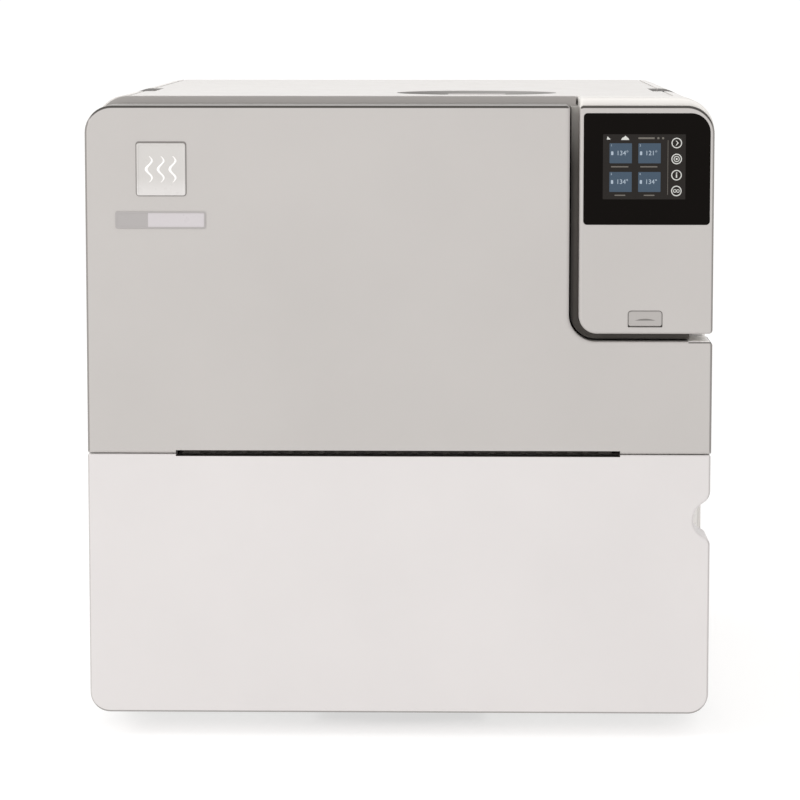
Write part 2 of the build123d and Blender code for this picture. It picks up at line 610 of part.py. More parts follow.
# ---- pressure chamber --------------------------------------------------------------------
CHAMBER_PLANE = Plane(origin=(CHAMBER_X, 0, CHAMBER_Z), x_dir=(1, 0, 0), z_dir=(0, 0, 1))
CHAMBER_AXIS = Axis((CHAMBER_X, 0, CHAMBER_Z), (0, 1, 0))
VESSEL_R = CHAMBER_R + VESSEL_T
END_DEPTH = 32.0
BOSS_OFFSET = VALVE_Z - CHAMBER_Z


def dome_y(rim_r, depth, r):
    """Y of a spherical end cap, at distance r from the axis, over the chamber's end."""
    ball_r = (rim_r**2 + depth**2) / (2 * depth)
    return CHAMBER_END_Y + depth - ball_r + sqrt(ball_r**2 - r**2)


with BuildPart() as chamber_vessel:
    with BuildSketch(CHAMBER_PLANE):
        with BuildLine():
            shell = Polyline((0, CHAMBER_END_Y + END_DEPTH - 2), (0, CHAMBER_END_Y + END_DEPTH))
            outer = ThreePointArc(
                shell @ 1, (BOSS_OFFSET, dome_y(VESSEL_R, END_DEPTH, BOSS_OFFSET)),
                (VESSEL_R, CHAMBER_END_Y))
            side = Polyline(outer @ 1, (VESSEL_R, -237), (FLANGE_R, -238), (FLANGE_R, FRAME_Y),
                            (CHAMBER_R, FRAME_Y), (CHAMBER_R, CHAMBER_END_Y))
            ThreePointArc(
                side @ 1, (BOSS_OFFSET, dome_y(CHAMBER_R, END_DEPTH - 2, BOSS_OFFSET)), shell @ 0)
        make_face()
    revolve(axis=CHAMBER_AXIS)
    for z in (VALVE_Z, 2 * CHAMBER_Z - VALVE_Z):
        rod_y(CHAMBER_X, z, (172.5, 186), 12.0)
save(chamber_vessel, "chamber_vessel")


def sleeve(radii, y):
    """A round sleeve on the chamber's axis."""
    with BuildPart() as ring:
        with BuildSketch(front_plane(y[1])):
            with Locations((CHAMBER_X, CHAMBER_Z)):
                Circle(radii[1])
                Circle(radii[0], mode=Mode.SUBTRACT)
        extrude(amount=y[1] - y[0])
    return ring


heater_band = sleeve((VESSEL_R, VESSEL_R + 1.8), (-150, 60))
save(heater_band, "heater_band")

insulation_jacket = sleeve((VESSEL_R + 2, JACKET_R), (-236.5, 148))
save(insulation_jacket, "insulation_jacket")

RACK_X = 96.0
TRAY_LEVELS = (CHAMBER_Z - 52, CHAMBER_Z - 12, CHAMBER_Z + 28)
with BuildPart() as tray_rack:
    for side in (-1, 1):
        block(sorted((CHAMBER_X + side * RACK_X, CHAMBER_X + side * (RACK_X - 1.2))), (-225, 95),
              (CHAMBER_Z - 62, CHAMBER_Z + 60))
        for level in TRAY_LEVELS:
            block(sorted((CHAMBER_X + side * RACK_X, CHAMBER_X + side * (RACK_X - 9))), (-225, 95),
                  (level - 1.5, level))
    for y in (-200, -65, 70):
        block((CHAMBER_X - RACK_X, CHAMBER_X + RACK_X), (y, y + 12), (CHAMBER_Z - 62, CHAMBER_Z - 60))
    block((CHAMBER_X - RACK_X, CHAMBER_X + RACK_X), (93.5, 95), (CHAMBER_Z - 62, CHAMBER_Z - 40))
save(tray_rack, "tray_rack")

with BuildPart() as instrument_trays:
    for level in TRAY_LEVELS:
        with BuildSketch(Plane.XY.offset(level)):
            with Locations((CHAMBER_X, -70)):
                RectangleRounded(184, 290, 8)
        extrude(amount=18)
        with BuildSketch(Plane.XY.offset(level + 1)):
            with Locations((CHAMBER_X, -70)):
                RectangleRounded(182, 288, 7)
        extrude(amount=18, mode=Mode.SUBTRACT)
        with Locations((CHAMBER_X, -70, level)):
            with GridLocations(28, 26, 6, 10):
                Box(16, 7, 8, mode=Mode.SUBTRACT)
save(instrument_trays, "instrument_trays")

# ---- service bay -------------------------------------------------------------------------
SWITCH_X, SWITCH_Z, SWITCH_Y = 20.0, 170.0, -151.0
RESET_X, RESET_Z = 75.0, 170.0
AIR_FILTER_X, AIR_FILTER_Z = 135.0, 120.0
COUPLING_X, COUPLING_Z = (-150.0, -95.0), 84.0
with BuildPart() as service_bay:
    block((BAY_LEFT, BAY_RIGHT), (FRAME_BACK_Y, BAY_BACK_Y), (BAY_LOW, BAY_HIGH))
    block((BAY_LEFT + BAY_T, BAY_RIGHT - BAY_T), (FRAME_BACK_Y - 1, BAY_FLOOR_Y),
          (BAY_LOW + BAY_T, BAY_HIGH - BAY_T), Mode.SUBTRACT)
    rod_y(AIR_FILTER_X, AIR_FILTER_Z, (-162, BAY_FLOOR_Y), 14.0)
    rod_y(AIR_FILTER_X, AIR_FILTER_Z, (-165, BAY_BACK_Y + 1), 8.08, Mode.SUBTRACT)
    rod_y(RESET_X, RESET_Z, (-160, BAY_FLOOR_Y), 9.0)
    rod_y(RESET_X, RESET_Z, (-165, BAY_BACK_Y + 1), 5.1, Mode.SUBTRACT)
    block((SWITCH_X - 13.2, SWITCH_X + 13.2), (-160, -140), (SWITCH_Z - 10.2, SWITCH_Z + 10.2),
          Mode.SUBTRACT)
save(service_bay, "service_bay")

with BuildPart() as rocker_housing:
    block((SWITCH_X - 15, SWITCH_X + 15), (-155.5, BAY_FLOOR_Y), (SWITCH_Z - 12, SWITCH_Z + 12))
    block((SWITCH_X - 13, SWITCH_X + 13), (BAY_FLOOR_Y, -130), (SWITCH_Z - 10, SWITCH_Z + 10))
    block((SWITCH_X - 10.5, SWITCH_X + 10.5), (-156, -138), (SWITCH_Z - 8.2, SWITCH_Z + 8.2),
          Mode.SUBTRACT)
    rod_x(SWITCH_Y, SWITCH_Z, (SWITCH_X - 12, SWITCH_X + 12), 1.55, Mode.SUBTRACT)
save(rocker_housing, "rocker_housing")

ROCKER_PROFILE = [(-5, -7), (-3, 0), (-5, 7), (0, 7), (4, 3), (4, -3), (0, -7)]
with BuildPart() as power_rocker:
    with BuildSketch(Plane.YZ.offset(SWITCH_X - 10)):
        with Locations(Location((SWITCH_Y, SWITCH_Z), (0, 0, -7))):
            Polygon(*ROCKER_PROFILE, align=None)
    extrude(amount=20)
    rod_x(SWITCH_Y, SWITCH_Z, (SWITCH_X - 11.8, SWITCH_X + 11.8), 1.5)
save(power_rocker, "power_rocker")

with BuildPart() as reset_button:
    rod_y(RESET_X, RESET_Z, (-164, -146), 5.0)
    chamfer(rim(reset_button, -164), 0.8)
save(reset_button, "reset_button")

with BuildPart() as bacteria_filter:
    rod_y(AIR_FILTER_X, AIR_FILTER_Z, (-218, -162.4), 28.0)
    fillet(rim(bacteria_filter, -218), 4.0)
    with Locations(Location((AIR_FILTER_X, -190, AIR_FILTER_Z), (90, 0, 0))):
        with PolarLocations(28.4, 18):
            Box(3, 3, 40)
    rod_y(AIR_FILTER_X, AIR_FILTER_Z, (-162.4, -148), 8.0)
    rod_y(AIR_FILTER_X, AIR_FILTER_Z, (-220, -214), 7.0, Mode.SUBTRACT)
save(bacteria_filter, "bacteria_filter")

BARREL_R = 7.0
with BuildPart() as drain_couplings:
    for x in COUPLING_X:
        rod_y(x, COUPLING_Z, (-157, BAY_FLOOR_Y), 14.0)
        rod_y(x, COUPLING_Z, (-196, -157), BARREL_R)
        rod_y(x, COUPLING_Z, (-197, -180), 3.2, Mode.SUBTRACT)
save(drain_couplings, "drain_couplings")

for side, x in zip(("left", "right"), COUPLING_X):
    with BuildPart() as collar:
        rod_y(x, COUPLING_Z, (-190, -168), 11.0)
        chamfer(collar.edges().filter_by(GeomType.CIRCLE), 0.8)
        rod_y(x, COUPLING_Z, (-191, -167), BARREL_R + 0.06, Mode.SUBTRACT)
        with Locations(Location((x, -179, COUPLING_Z), (90, 0, 0))):
            with PolarLocations(11.2, 16):
                Cylinder(0.9, 14, mode=Mode.SUBTRACT)
    save(collar, f"coupling_collar_{side}")

# ---- door lock -----------------------------------------------------------------------------
with BuildPart() as lock_bar:
    block((116, 122), (-239, -231), (285, 427))
    for level in STRIKER_Z:
        rod_x(BOLT_Y, level, (107, 117), 3.2)
save(lock_bar, "lock_bar")

with BuildPart() as lock_actuator:
    block((130, 166), (-239.5, -206), (338, 376))
    block((122.4, 130), (-238, -228), (350, 364))
    rod_z(148, -222, (376, 396), 11.0)
save(lock_actuator, "lock_actuator")

# ---- water tanks -----------------------------------------------------------------------------
TANK_X = (86.0, 228.0)
TANK_Z = (240.0, 478.0)
SHELF_X, SHELF_Z = 28.0, 464.0
TANK_T = 2.5
CLEAN_Y = (-196.0, 18.0)
USED_Y = (30.0, 240.0)


def tank(y, shelf_x):
    """A closed tank beside the chamber, with a shallow shelf reaching over the chamber."""
    profile = [(TANK_X[1], TANK_Z[0]), (TANK_X[1], TANK_Z[1]), (shelf_x, TANK_Z[1]),
               (shelf_x, SHELF_Z), (TANK_X[0], SHELF_Z), (TANK_X[0], TANK_Z[0])]
    with BuildPart() as vessel:
        with BuildSketch(front_plane(y[1])):
            Polygon(*profile, align=None)
        extrude(amount=y[1] - y[0])
        with BuildSketch(front_plane(y[1] - TANK_T)):
            Polygon(*profile, align=None)
            offset(amount=-TANK_T, kind=Kind.INTERSECTION)
        extrude(amount=y[1] - y[0] - 2 * TANK_T, mode=Mode.SUBTRACT)
    return vessel


with BuildPart() as clean_water_tank:
    add(tank(CLEAN_Y, SHELF_X).part)
    rod_z(DISH_X, DISH_Y, (TANK_Z[1] - 1, 484.5), 26.0)
    rod_z(DISH_X, DISH_Y, (TANK_Z[1] - 5, 486), 23.0, Mode.SUBTRACT)
save(clean_water_tank, "clean_water_tank")

used_water_tank = tank(USED_Y, SHELF_X)
save(used_water_tank, "used_water_tank")

# ---- plant below the chamber -------------------------------------------------------------------
FLOOR_Z = PAN_Z + PAN_T
GENERATOR_X, GENERATOR_Y = 50.0, 60.0
with BuildPart() as steam_generator:
    rod_z(GENERATOR_X, GENERATOR_Y, (FLOOR_Z, FLOOR_Z + 8), 48.0)
    rod_z(GENERATOR_X, GENERATOR_Y, (FLOOR_Z + 8, 165), 40.0)
    rod_z(GENERATOR_X, GENERATOR_Y, (165, 172), 48.0)
    with Locations((GENERATOR_X, GENERATOR_Y, 175)):
        with PolarLocations(41, 8):
            Cylinder(3.5, 6)
    with Locations((GENERATOR_X, GENERATOR_Y, 178)):
        with PolarLocations(22, 3):
            Cylinder(4, 14)
save(steam_generator, "steam_generator")

PIPE_R = 4.0
REAR_BOSS_Z = 2 * CHAMBER_Z - VALVE_Z
with BuildPart() as steam_pipe:
    with BuildLine():
        route = FilletPolyline(
            (GENERATOR_X, GENERATOR_Y, 172), (GENERATOR_X, GENERATOR_Y, 205),
            (GENERATOR_X, 192, 205), (CHAMBER_X, 216, 205), (CHAMBER_X, 216, REAR_BOSS_Z),
            (CHAMBER_X, 186, REAR_BOSS_Z), radius=14)
    with BuildSketch(Plane(route @ 0, z_dir=route % 0)):
        Circle(PIPE_R)
    sweep()
save(steam_pipe, "steam_pipe")

with BuildPart() as vacuum_pump:
    block((-190, -90), (40, 110), (FLOOR_Z, 110))
    fillet(vacuum_pump.edges().filter_by(Axis.Z), 8.0)
    rod_y(-140, 72, (110, 190), 36.0)
    block((-170, -110), (120, 180), (FLOOR_Z, 42))
    with Locations((-140, 75, 118)):
        with GridLocations(12, 1, 8, 1):
            Box(4, 60, 18)
save(vacuum_pump, "vacuum_pump")

with BuildPart() as water_pump:
    rod_x(-35, 60, (-60, 10), 22.0)
    block((-50, 0), (-55, -15), (FLOOR_Z, 50))
    rod_x(-35, 60, (-72, -60), 6.0)
    rod_x(-35, 60, (10, 24), 6.0)
save(water_pump, "water_pump")

VALVE_COUNT, VALVE_PITCH = 4, 32.0
VALVE_Y = -115.0
with BuildPart() as valve_manifold:
    block((-70, 70), (VALVE_Y - 16, VALVE_Y + 16), (FLOOR_Z, 54))
    fillet(valve_manifold.edges().filter_by(Axis.Z), 3.0)
    for side in (-1, 1):
        rod_y(side * 55, 40, (VALVE_Y + 16, VALVE_Y + 30), 5.0)
save(valve_manifold, "valve_manifold")

with BuildPart() as solenoid_valves:
    with Locations((0, VALVE_Y, 62)):
        with GridLocations(VALVE_PITCH, 1, VALVE_COUNT, 1):
            Box(24, 26, 16)
    with Locations((0, VALVE_Y, 88)):
        with GridLocations(VALVE_PITCH, 1, VALVE_COUNT, 1):
            Cylinder(13, 36)
    with Locations((0, VALVE_Y, 110)):
        with GridLocations(VALVE_PITCH, 1, VALVE_COUNT, 1):
            Cylinder(4, 8)
save(solenoid_valves, "solenoid_valves")

FIN_COUNT = 26
with BuildPart() as condenser:
    for z in (74, 206):
        block((-78, 78), (222, 252), (z - 4, z + 4))
    with Locations((0, 237, 140)):
        with GridLocations(6, 1, FIN_COUNT, 1):
            Box(1.2, 30, 126)
    for z in (90, 115, 140, 165, 190):
        rod_x(237, z, (-84, 84), 5.0)
save(condenser, "condenser")

SHROUD_Y = (258.0, REAR_Y - REAR_PANEL_T)
with BuildPart() as fan_shroud:
    block((FAN_X - 60, FAN_X + 60), SHROUD_Y, (FAN_Z - 60, FAN_Z + 60))
    fillet(fan_shroud.edges().filter_by(Axis.Y), 5.0)
    rod_y(FAN_X, FAN_Z, (250, 290), FAN_R + 2, Mode.SUBTRACT)
    rod_y(FAN_X, FAN_Z, (SHROUD_Y[0], 262), 17.0)
    with Locations(Location((FAN_X, 260, FAN_Z), (90, 0, 0))):
        with PolarLocations(36, 3):
            Box(44, 6, 4)
    rod_y(FAN_X, FAN_Z, (262, 280), 3.0)
save(fan_shroud, "fan_shroud")

with BuildPart() as fan_impeller:
    rod_y(FAN_X, FAN_Z, (263, 280), 18.0)
    with Locations(Location((FAN_X, 271.5, FAN_Z), (90, 0, 0))):
        with PolarLocations(34, 7):
            Box(38, 2.2, 15, rotation=(38, 0, 0))
    rod_y(FAN_X, FAN_Z, (262, 281), 3.05, Mode.SUBTRACT)
save(fan_impeller, "fan_impeller")

with BuildPart() as main_board:
    block((-226, -224.4), (-120, 20), (45, 205))
    for y, z, height in ((-90, 80, 12), (-40, 120, 20), (-90, 160, 9), (-10, 70, 16)):
        block((-224.4, -224.4 + height), (y - 12, y + 12), (z - 14, z + 14))
    for y in (-112, 12):
        for z in (53, 197):
            rod_x(y, z, (-235.4, -226), 3.0)
save(main_board, "main_board")

# ---- rear connections ------------------------------------------------------------------------------
with BuildPart() as mains_inlet:
    block((INLET_X - 17, INLET_X + 17), (REAR_Y, REAR_Y + 3), (INLET_Z - 14, INLET_Z + 14))
    fillet(mains_inlet.edges().filter_by(Axis.Y), 3.0)
    block((INLET_X - 13, INLET_X + 13), (262, REAR_Y), (INLET_Z - 10, INLET_Z + 10))
    block((INLET_X - 11.5, INLET_X + 11.5), (272, 300), (INLET_Z - 8.5, INLET_Z + 8.5), Mode.SUBTRACT)
    for x, z in ((-6, -2), (0, 4), (6, -2)):
        block((INLET_X + x - 1, INLET_X + x + 1), (270, 287), (INLET_Z + z - 2, INLET_Z + z + 2))
save(mains_inlet, "mains_inlet")

SPIGOT_R = 5.0
with BuildPart() as rear_spigots:
    for x in SPIGOT_X:
        rod_y(x, SPIGOT_Z, (266, REAR_Y), 7.0)
        rod_y(x, SPIGOT_Z, (REAR_Y, REAR_Y + 3), 11.0)
        rod_y(x, SPIGOT_Z, (REAR_Y + 3, REARMOST_Y), SPIGOT_R)
        rod_y(x, SPIGOT_Z, (270, REARMOST_Y + 1), 3.0, Mode.SUBTRACT)
save(rear_spigots, "rear_spigots")

with BuildPart() as safety_valve:
    rod_y(CHAMBER_X, VALVE_Z, (186, REAR_Y), 8.0)
    rod_y(CHAMBER_X, VALVE_Z, (196, 230), 14.0)
    rod_y(CHAMBER_X, VALVE_Z, (REAR_Y, REAR_Y + 4), 13.0)
    rod_y(CHAMBER_X, VALVE_Z, (REAR_Y + 4, REAR_Y + 10), 4.0)
save(safety_valve, "safety_valve")

with BuildPart() as valve_knob:
    rod_y(CHAMBER_X, VALVE_Z, (REAR_Y + 4.4, REAR_Y + 13), 10.0)
    fillet(rim(valve_knob, REAR_Y + 13), 1.5)
    with Locations(Location((CHAMBER_X, REAR_Y + 8.7, VALVE_Z), (90, 0, 0))):
        with PolarLocations(10.4, 12):
            Cylinder(1.1, 12, mode=Mode.SUBTRACT)
    rod_y(CHAMBER_X, VALVE_Z, (REAR_Y + 3, REAR_Y + 11), 4.06, Mode.SUBTRACT)
save(valve_knob, "valve_knob")
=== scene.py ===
"""Looks of a benchtop steam autoclave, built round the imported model, in metres in the CAD's frame."""

import json
from math import cos, pi, radians, sin

import bmesh
import bpy
from mathutils import Matrix, Vector


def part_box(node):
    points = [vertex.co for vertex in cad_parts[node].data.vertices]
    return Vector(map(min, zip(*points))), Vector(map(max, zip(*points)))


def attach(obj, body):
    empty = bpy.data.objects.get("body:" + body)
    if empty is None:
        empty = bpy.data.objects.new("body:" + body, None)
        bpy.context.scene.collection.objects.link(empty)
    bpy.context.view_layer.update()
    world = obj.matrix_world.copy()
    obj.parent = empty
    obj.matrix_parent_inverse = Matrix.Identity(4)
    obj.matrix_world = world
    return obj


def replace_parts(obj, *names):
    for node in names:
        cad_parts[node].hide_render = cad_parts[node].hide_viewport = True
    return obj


MM = 0.001

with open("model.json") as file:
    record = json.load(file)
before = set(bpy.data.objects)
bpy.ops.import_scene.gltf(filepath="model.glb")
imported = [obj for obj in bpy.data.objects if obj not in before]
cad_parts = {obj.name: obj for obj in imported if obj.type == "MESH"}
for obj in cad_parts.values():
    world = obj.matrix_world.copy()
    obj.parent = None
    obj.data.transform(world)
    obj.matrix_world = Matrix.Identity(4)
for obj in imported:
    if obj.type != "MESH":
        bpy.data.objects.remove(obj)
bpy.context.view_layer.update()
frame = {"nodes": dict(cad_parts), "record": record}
NODES = frame["nodes"]

# Where the zones of colour begin and end, in metres. Each pair is the fade from its first value,
# where the zone has not begun, to its second, where it is full.
UPPER_EDGE_Z = (0.40, 0.41)
OUTER_SIDE_X = (0.2365, 0.2372)
RETURN_Y = (-0.2972, -0.2962)
GAP_END_X, GAP_END_Z = (0.2210, 0.2222), (0.318, 0.314)
CUP_X, CUP_Y, CUP_Z = (0.2205, 0.2215), (-0.2499, -0.2492), (0.32, 0.318)
BESIDE_GAP_Z = (0.296, 0.298)
DOOR_FOOT_Z = (0.05, 0.04)
SLOT_LEFT_X, SLOT_RIGHT_X = (-0.1722, -0.1718), (0.1702, 0.1698)
SLOT_Y, SLOT_Z = (-0.285, -0.287), (0.2185, 0.2195)
BELOW_LID_Z = (0.4964, 0.4960)
NOTCH_INNER_X, NOTCH_OUTER_X = (0.2025, 0.2030), (0.2235, 0.2230)
NOTCH_MIDDLE_Y, NOTCH_HALF_LENGTH = -0.065, (0.0490, 0.0485)
DISH_X, DISH_Y, DISH_R = 0.0595, -0.157, (0.0643, 0.0641)
LINING_RIGHT_X, LINING_TOP_Z = (0.1318, 0.1352), (0.44, 0.492)
BADGE_SHEEN_Z = (0.438, 0.424)


# ---- materials -------------------------------------------------------------------------
def srgb(red, green, blue):
    """Linear RGBA from 0-255 display values."""
    def linear(value):
        value /= 255
        return value / 12.92 if value <= 0.04045 else ((value + 0.055) / 1.055) ** 2.4
    return (linear(red), linear(green), linear(blue), 1.0)


def scaled(colour, factor):
    """The same colour, lighter or darker."""
    return tuple(min(1.0, c * factor) for c in colour[:3]) + (1.0,)


class Surface:
    """A principled material with helpers for the nodes that feed it."""

    def __init__(self, name, colour, roughness, metallic=0.0, specular=0.5):
        self.material = bpy.data.materials.new(name)
        self.material.use_nodes = True
        self.material.diffuse_color = colour
        self.tree = self.material.node_tree
        self.shader = self.tree.nodes["Principled BSDF"]
        self.colour = colour
        self.roughness = roughness
        self.shader.inputs["Base Color"].default_value = colour
        self.shader.inputs["Roughness"].default_value = roughness
        self.shader.inputs["Metallic"].default_value = metallic
        self.shader.inputs["Specular IOR Level"].default_value = specular
        self.place = self.node("ShaderNodeTexCoord").outputs["Object"]

    def node(self, kind, **settings):
        made = self.tree.nodes.new(kind)
        for key, value in settings.items():
            setattr(made, key, value)
        return made

    def link(self, out, into):
        self.tree.links.new(out, into)

    def stretched(self, scale):
        """Object coordinates scaled by axis, for brushed or fibrous textures."""
        mapping = self.node("ShaderNodeMapping")
        mapping.inputs["Scale"].default_value = scale
        self.link(self.place, mapping.inputs["Vector"])
        return mapping.outputs["Vector"]

    def noise(self, scale, detail=3.0, rough=0.55, where=None):
        texture = self.node("ShaderNodeTexNoise")
        texture.inputs["Scale"].default_value = scale
        texture.inputs["Detail"].default_value = detail
        texture.inputs["Roughness"].default_value = rough
        self.link(where or self.place, texture.inputs["Vector"])
        return texture.outputs["Fac"]

    def spread(self, value, low, high):
        """Maps the middle of a 0-1 texture to the range low-high."""
        ramp = self.node("ShaderNodeMapRange")
        ramp.inputs["From Min"].default_value = 0.3
        ramp.inputs["From Max"].default_value = 0.7
        ramp.inputs["To Min"].default_value = low
        ramp.inputs["To Max"].default_value = high
        self.link(value, ramp.inputs["Value"])
        return ramp.outputs["Result"]

    def mix(self, factor, first, second):
        blend = self.node("ShaderNodeMix", data_type="RGBA")
        blend.inputs["A"].default_value = first
        blend.inputs["B"].default_value = second
        self.link(factor, blend.inputs["Factor"])
        return blend.outputs["Result"]

    def mottle(self, scale, amount):
        """A faint unevenness of colour, as moulded and painted parts have."""
        fac = self.spread(self.noise(scale, 4.0), 0.0, 1.0)
        shade = self.mix(fac, scaled(self.colour, 1 - amount), scaled(self.colour, 1 + amount))
        self.link(shade, self.shader.inputs["Base Color"])
        return self

    def sheen_spots(self, scale, amount, where=None):
        """Roughness that varies by amount either way."""
        value = self.noise(scale, 3.0, where=where)
        low, high = self.roughness - amount, self.roughness + amount
        self.link(self.spread(value, low, high), self.shader.inputs["Roughness"])
        return self

    def bump(self, heights, strength, distance):
        """Relief from one or more (texture, weight) pairs; distance in metres."""
        total = None
        for value, weight in heights:
            part = self.node("ShaderNodeMath", operation="MULTIPLY")
            part.inputs[1].default_value = weight
            self.link(value, part.inputs[0])
            if total is None:
                total = part.outputs[0]
                continue
            add = self.node("ShaderNodeMath", operation="ADD")
            self.link(total, add.inputs[0])
            self.link(part.outputs[0], add.inputs[1])
            total = add.outputs[0]
        relief = self.node("ShaderNodeBump")
        relief.inputs["Strength"].default_value = strength
        relief.inputs["Distance"].default_value = distance
        self.link(total, relief.inputs["Height"])
        self.link(relief.outputs["Normal"], self.shader.inputs["Normal"])
        return self

    def math(self, operation, first, second=0.0):
        """One maths node; each operand is a socket or a number."""
        made = self.node("ShaderNodeMath", operation=operation)
        for value, socket in ((first, made.inputs[0]), (second, made.inputs[1])):
            if isinstance(value, (int, float)):
                socket.default_value = value
            else:
                self.link(value, socket)
        return made.outputs[0]

    def product(self, first, *others):
        """Everything multiplied together, from left to right."""
        for other in others:
            first = self.math("MULTIPLY", first, other)
        return first

    def step(self, value, low, high):
        """0 below low, 1 above high, smooth between; low may be the larger."""
        ramp = self.node("ShaderNodeMapRange", interpolation_type="SMOOTHSTEP")
        ramp.inputs["From Min"].default_value = min(low, high)
        ramp.inputs["From Max"].default_value = max(low, high)
        ramp.inputs["To Min"].default_value = float(low > high)
        ramp.inputs["To Max"].default_value = float(low < high)
        self.link(value, ramp.inputs["Value"])
        return ramp.outputs["Result"]

    def axes(self, output="Object"):
        """The three components of the object-space position or normal."""
        parts = self.node("ShaderNodeSeparateXYZ")
        self.link(self.node("ShaderNodeTexCoord").outputs[output], parts.inputs[0])
        return parts.outputs["X"], parts.outputs["Y"], parts.outputs["Z"]

    def zone(self, mask, colour):
        """Lays another colour over the present one where mask is 1."""
        socket = self.shader.inputs["Base Color"]
        below = socket.links[0].from_socket if socket.links else None
        blend = self.node("ShaderNodeMix", data_type="RGBA")
        if below is None:
            blend.inputs["A"].default_value = self.colour
        else:
            self.link(below, blend.inputs["A"])
        blend.inputs["B"].default_value = colour
        self.link(mask, blend.inputs["Factor"])
        self.link(blend.outputs["Result"], socket)
        return self

    def top_edge_line(self, colour, low=0.3, high=0.75):
        """Painted shade along the rounded edge between the front face and the top, high up only."""
        _, front, up = self.axes("Normal")
        _, _, height = self.axes()
        turned = self.product(front, -2.0, up)
        line = self.product(self.step(turned, low, high), self.step(height, *UPPER_EDGE_Z))
        return self.zone(line, colour)

    def side_edge_line(self, colour, strength=1.0):
        """Softer painted shade along the rounded edges between the front face and the outer sides."""
        across, front, _ = self.axes("Normal")
        outward = self.math("ABSOLUTE", self.axes()[0])
        turned = self.product(front, -2.0, self.math("ABSOLUTE", across))
        line = self.product(self.step(turned, 0.45, 0.85), self.step(outward, *OUTER_SIDE_X), strength)
        return self.zone(line, colour)

    def set(self, **values):
        """Constant shader sockets, by name with underscores for spaces."""
        for key, value in values.items():
            self.shader.inputs[key.replace("_", " ")].default_value = value
        return self


def moulded(name, colour, roughness=0.42, grain=1400.0, depth=0.00003):
    """Moulded plastic: fine spark-eroded grain, slight flow marks."""
    made = Surface(name, colour, roughness, specular=0.4)
    made.mottle(9.0, 0.018).sheen_spots(60.0, 0.05)
    made.bump([(made.noise(grain, 2.0), 1.0), (made.noise(35.0, 2.0), 0.6)], 0.25, depth)
    return made


def painted(name, colour):
    """Powder-coated sheet: orange peel and a soft gloss."""
    made = Surface(name, colour, 0.36, specular=0.45)
    made.mottle(6.0, 0.012).sheen_spots(45.0, 0.05)
    made.bump([(made.noise(520.0, 1.5), 1.0), (made.noise(1500.0, 2.0), 0.4)], 0.3, 0.00004)
    return made


def brushed(name, colour, along, roughness=0.30):
    """Brushed metal, its lines running along one axis (0 X, 1 Y, 2 Z)."""
    made = Surface(name, colour, roughness, metallic=1.0)
    scale = [900.0, 900.0, 900.0]
    scale[along] = 9.0
    lines = made.stretched(scale)
    made.sheen_spots(1.0, 0.10, where=lines)
    made.mottle(12.0, 0.04)
    made.bump([(made.noise(1.0, 3.0, where=lines), 1.0)], 0.20, 0.00003)
    made.set(Anisotropic=0.45)
    return made


def machined(name, colour, roughness=0.22):
    """Turned or polished metal with faint tool marks and fingerprints."""
    made = Surface(name, colour, roughness, metallic=1.0)
    made.mottle(40.0, 0.05).sheen_spots(90.0, 0.07)
    made.bump([(made.noise(1600.0, 2.0), 1.0)], 0.10, 0.00002)
    return made


def elastic(name, colour, roughness=0.7):
    """Rubber or silicone: matt, with a dusty bloom."""
    made = Surface(name, colour, roughness, specular=0.25)
    made.mottle(30.0, 0.10).sheen_spots(70.0, 0.08)
    made.bump([(made.noise(700.0, 3.0), 1.0)], 0.35, 0.00008)
    return made


def fibrous(name, colour):
    """Needled glass-fibre blanket."""
    made = Surface(name, colour, 0.95, specular=0.1)
    strands = made.stretched((260.0, 60.0, 260.0))
    made.mottle(120.0, 0.12)
    fibres, lumps = made.noise(1.0, 5.0, 0.7, where=strands), made.noise(320.0, 4.0)
    made.bump([(fibres, 1.0), (lumps, 0.6)], 0.8, 0.0008)
    return made


def circuit(name, colour):
    """Solder-masked board: copper tracks show as lighter lines under the mask."""
    made = Surface(name, colour, 0.35)
    bricks = made.node("ShaderNodeTexBrick")
    bricks.inputs["Scale"].default_value = 90.0
    bricks.inputs["Mortar Size"].default_value = 0.03
    bricks.inputs["Color1"].default_value = colour
    bricks.inputs["Color2"].default_value = scaled(colour, 0.75)
    bricks.inputs["Mortar"].default_value = scaled(colour, 2.2)
    turned = made.node("ShaderNodeMapping")
    turned.inputs["Rotation"].default_value = (0, radians(90), 0)
    made.link(made.place, turned.inputs["Vector"])
    made.link(turned.outputs["Vector"], bricks.inputs["Vector"])
    made.link(bricks.outputs["Color"], made.shader.inputs["Base Color"])
    made.bump([(bricks.outputs["Fac"], 1.0)], 0.2, 0.00004)
    return made


def polymer(name, colour):
    """Milky blow-moulded polyethylene."""
    made = Surface(name, colour, 0.38, specular=0.4)
    made.mottle(14.0, 0.04)
    made.bump([(made.noise(110.0, 3.0), 1.0)], 0.3, 0.0002)
    made.set(Transmission_Weight=0.35)
    return made


def dark_glass(name, colour):
    """Back-printed black glass."""
    made = Surface(name, colour, 0.07, specular=0.04)
    made.mottle(5.0, 0.06).sheen_spots(25.0, 0.02)
    made.bump([(made.noise(18.0, 1.0), 1.0)], 0.05, 0.00005)
    return made


def lit(name, colour, glow):
    """An area of the lit display: a faint pixel grid over its colour."""
    made = Surface(name, colour, 0.25, specular=0.1)
    grid = made.node("ShaderNodeTexChecker")
    grid.inputs["Scale"].default_value = 5200.0
    grid.inputs["Color1"].default_value = scaled(colour, 1.06)
    grid.inputs["Color2"].default_value = scaled(colour, 0.94)
    made.link(made.place, grid.inputs["Vector"])
    made.link(grid.outputs["Color"], made.shader.inputs["Base Color"])
    made.link(grid.outputs["Color"], made.shader.inputs["Emission Color"])
    made.set(Emission_Strength=glow)
    return made


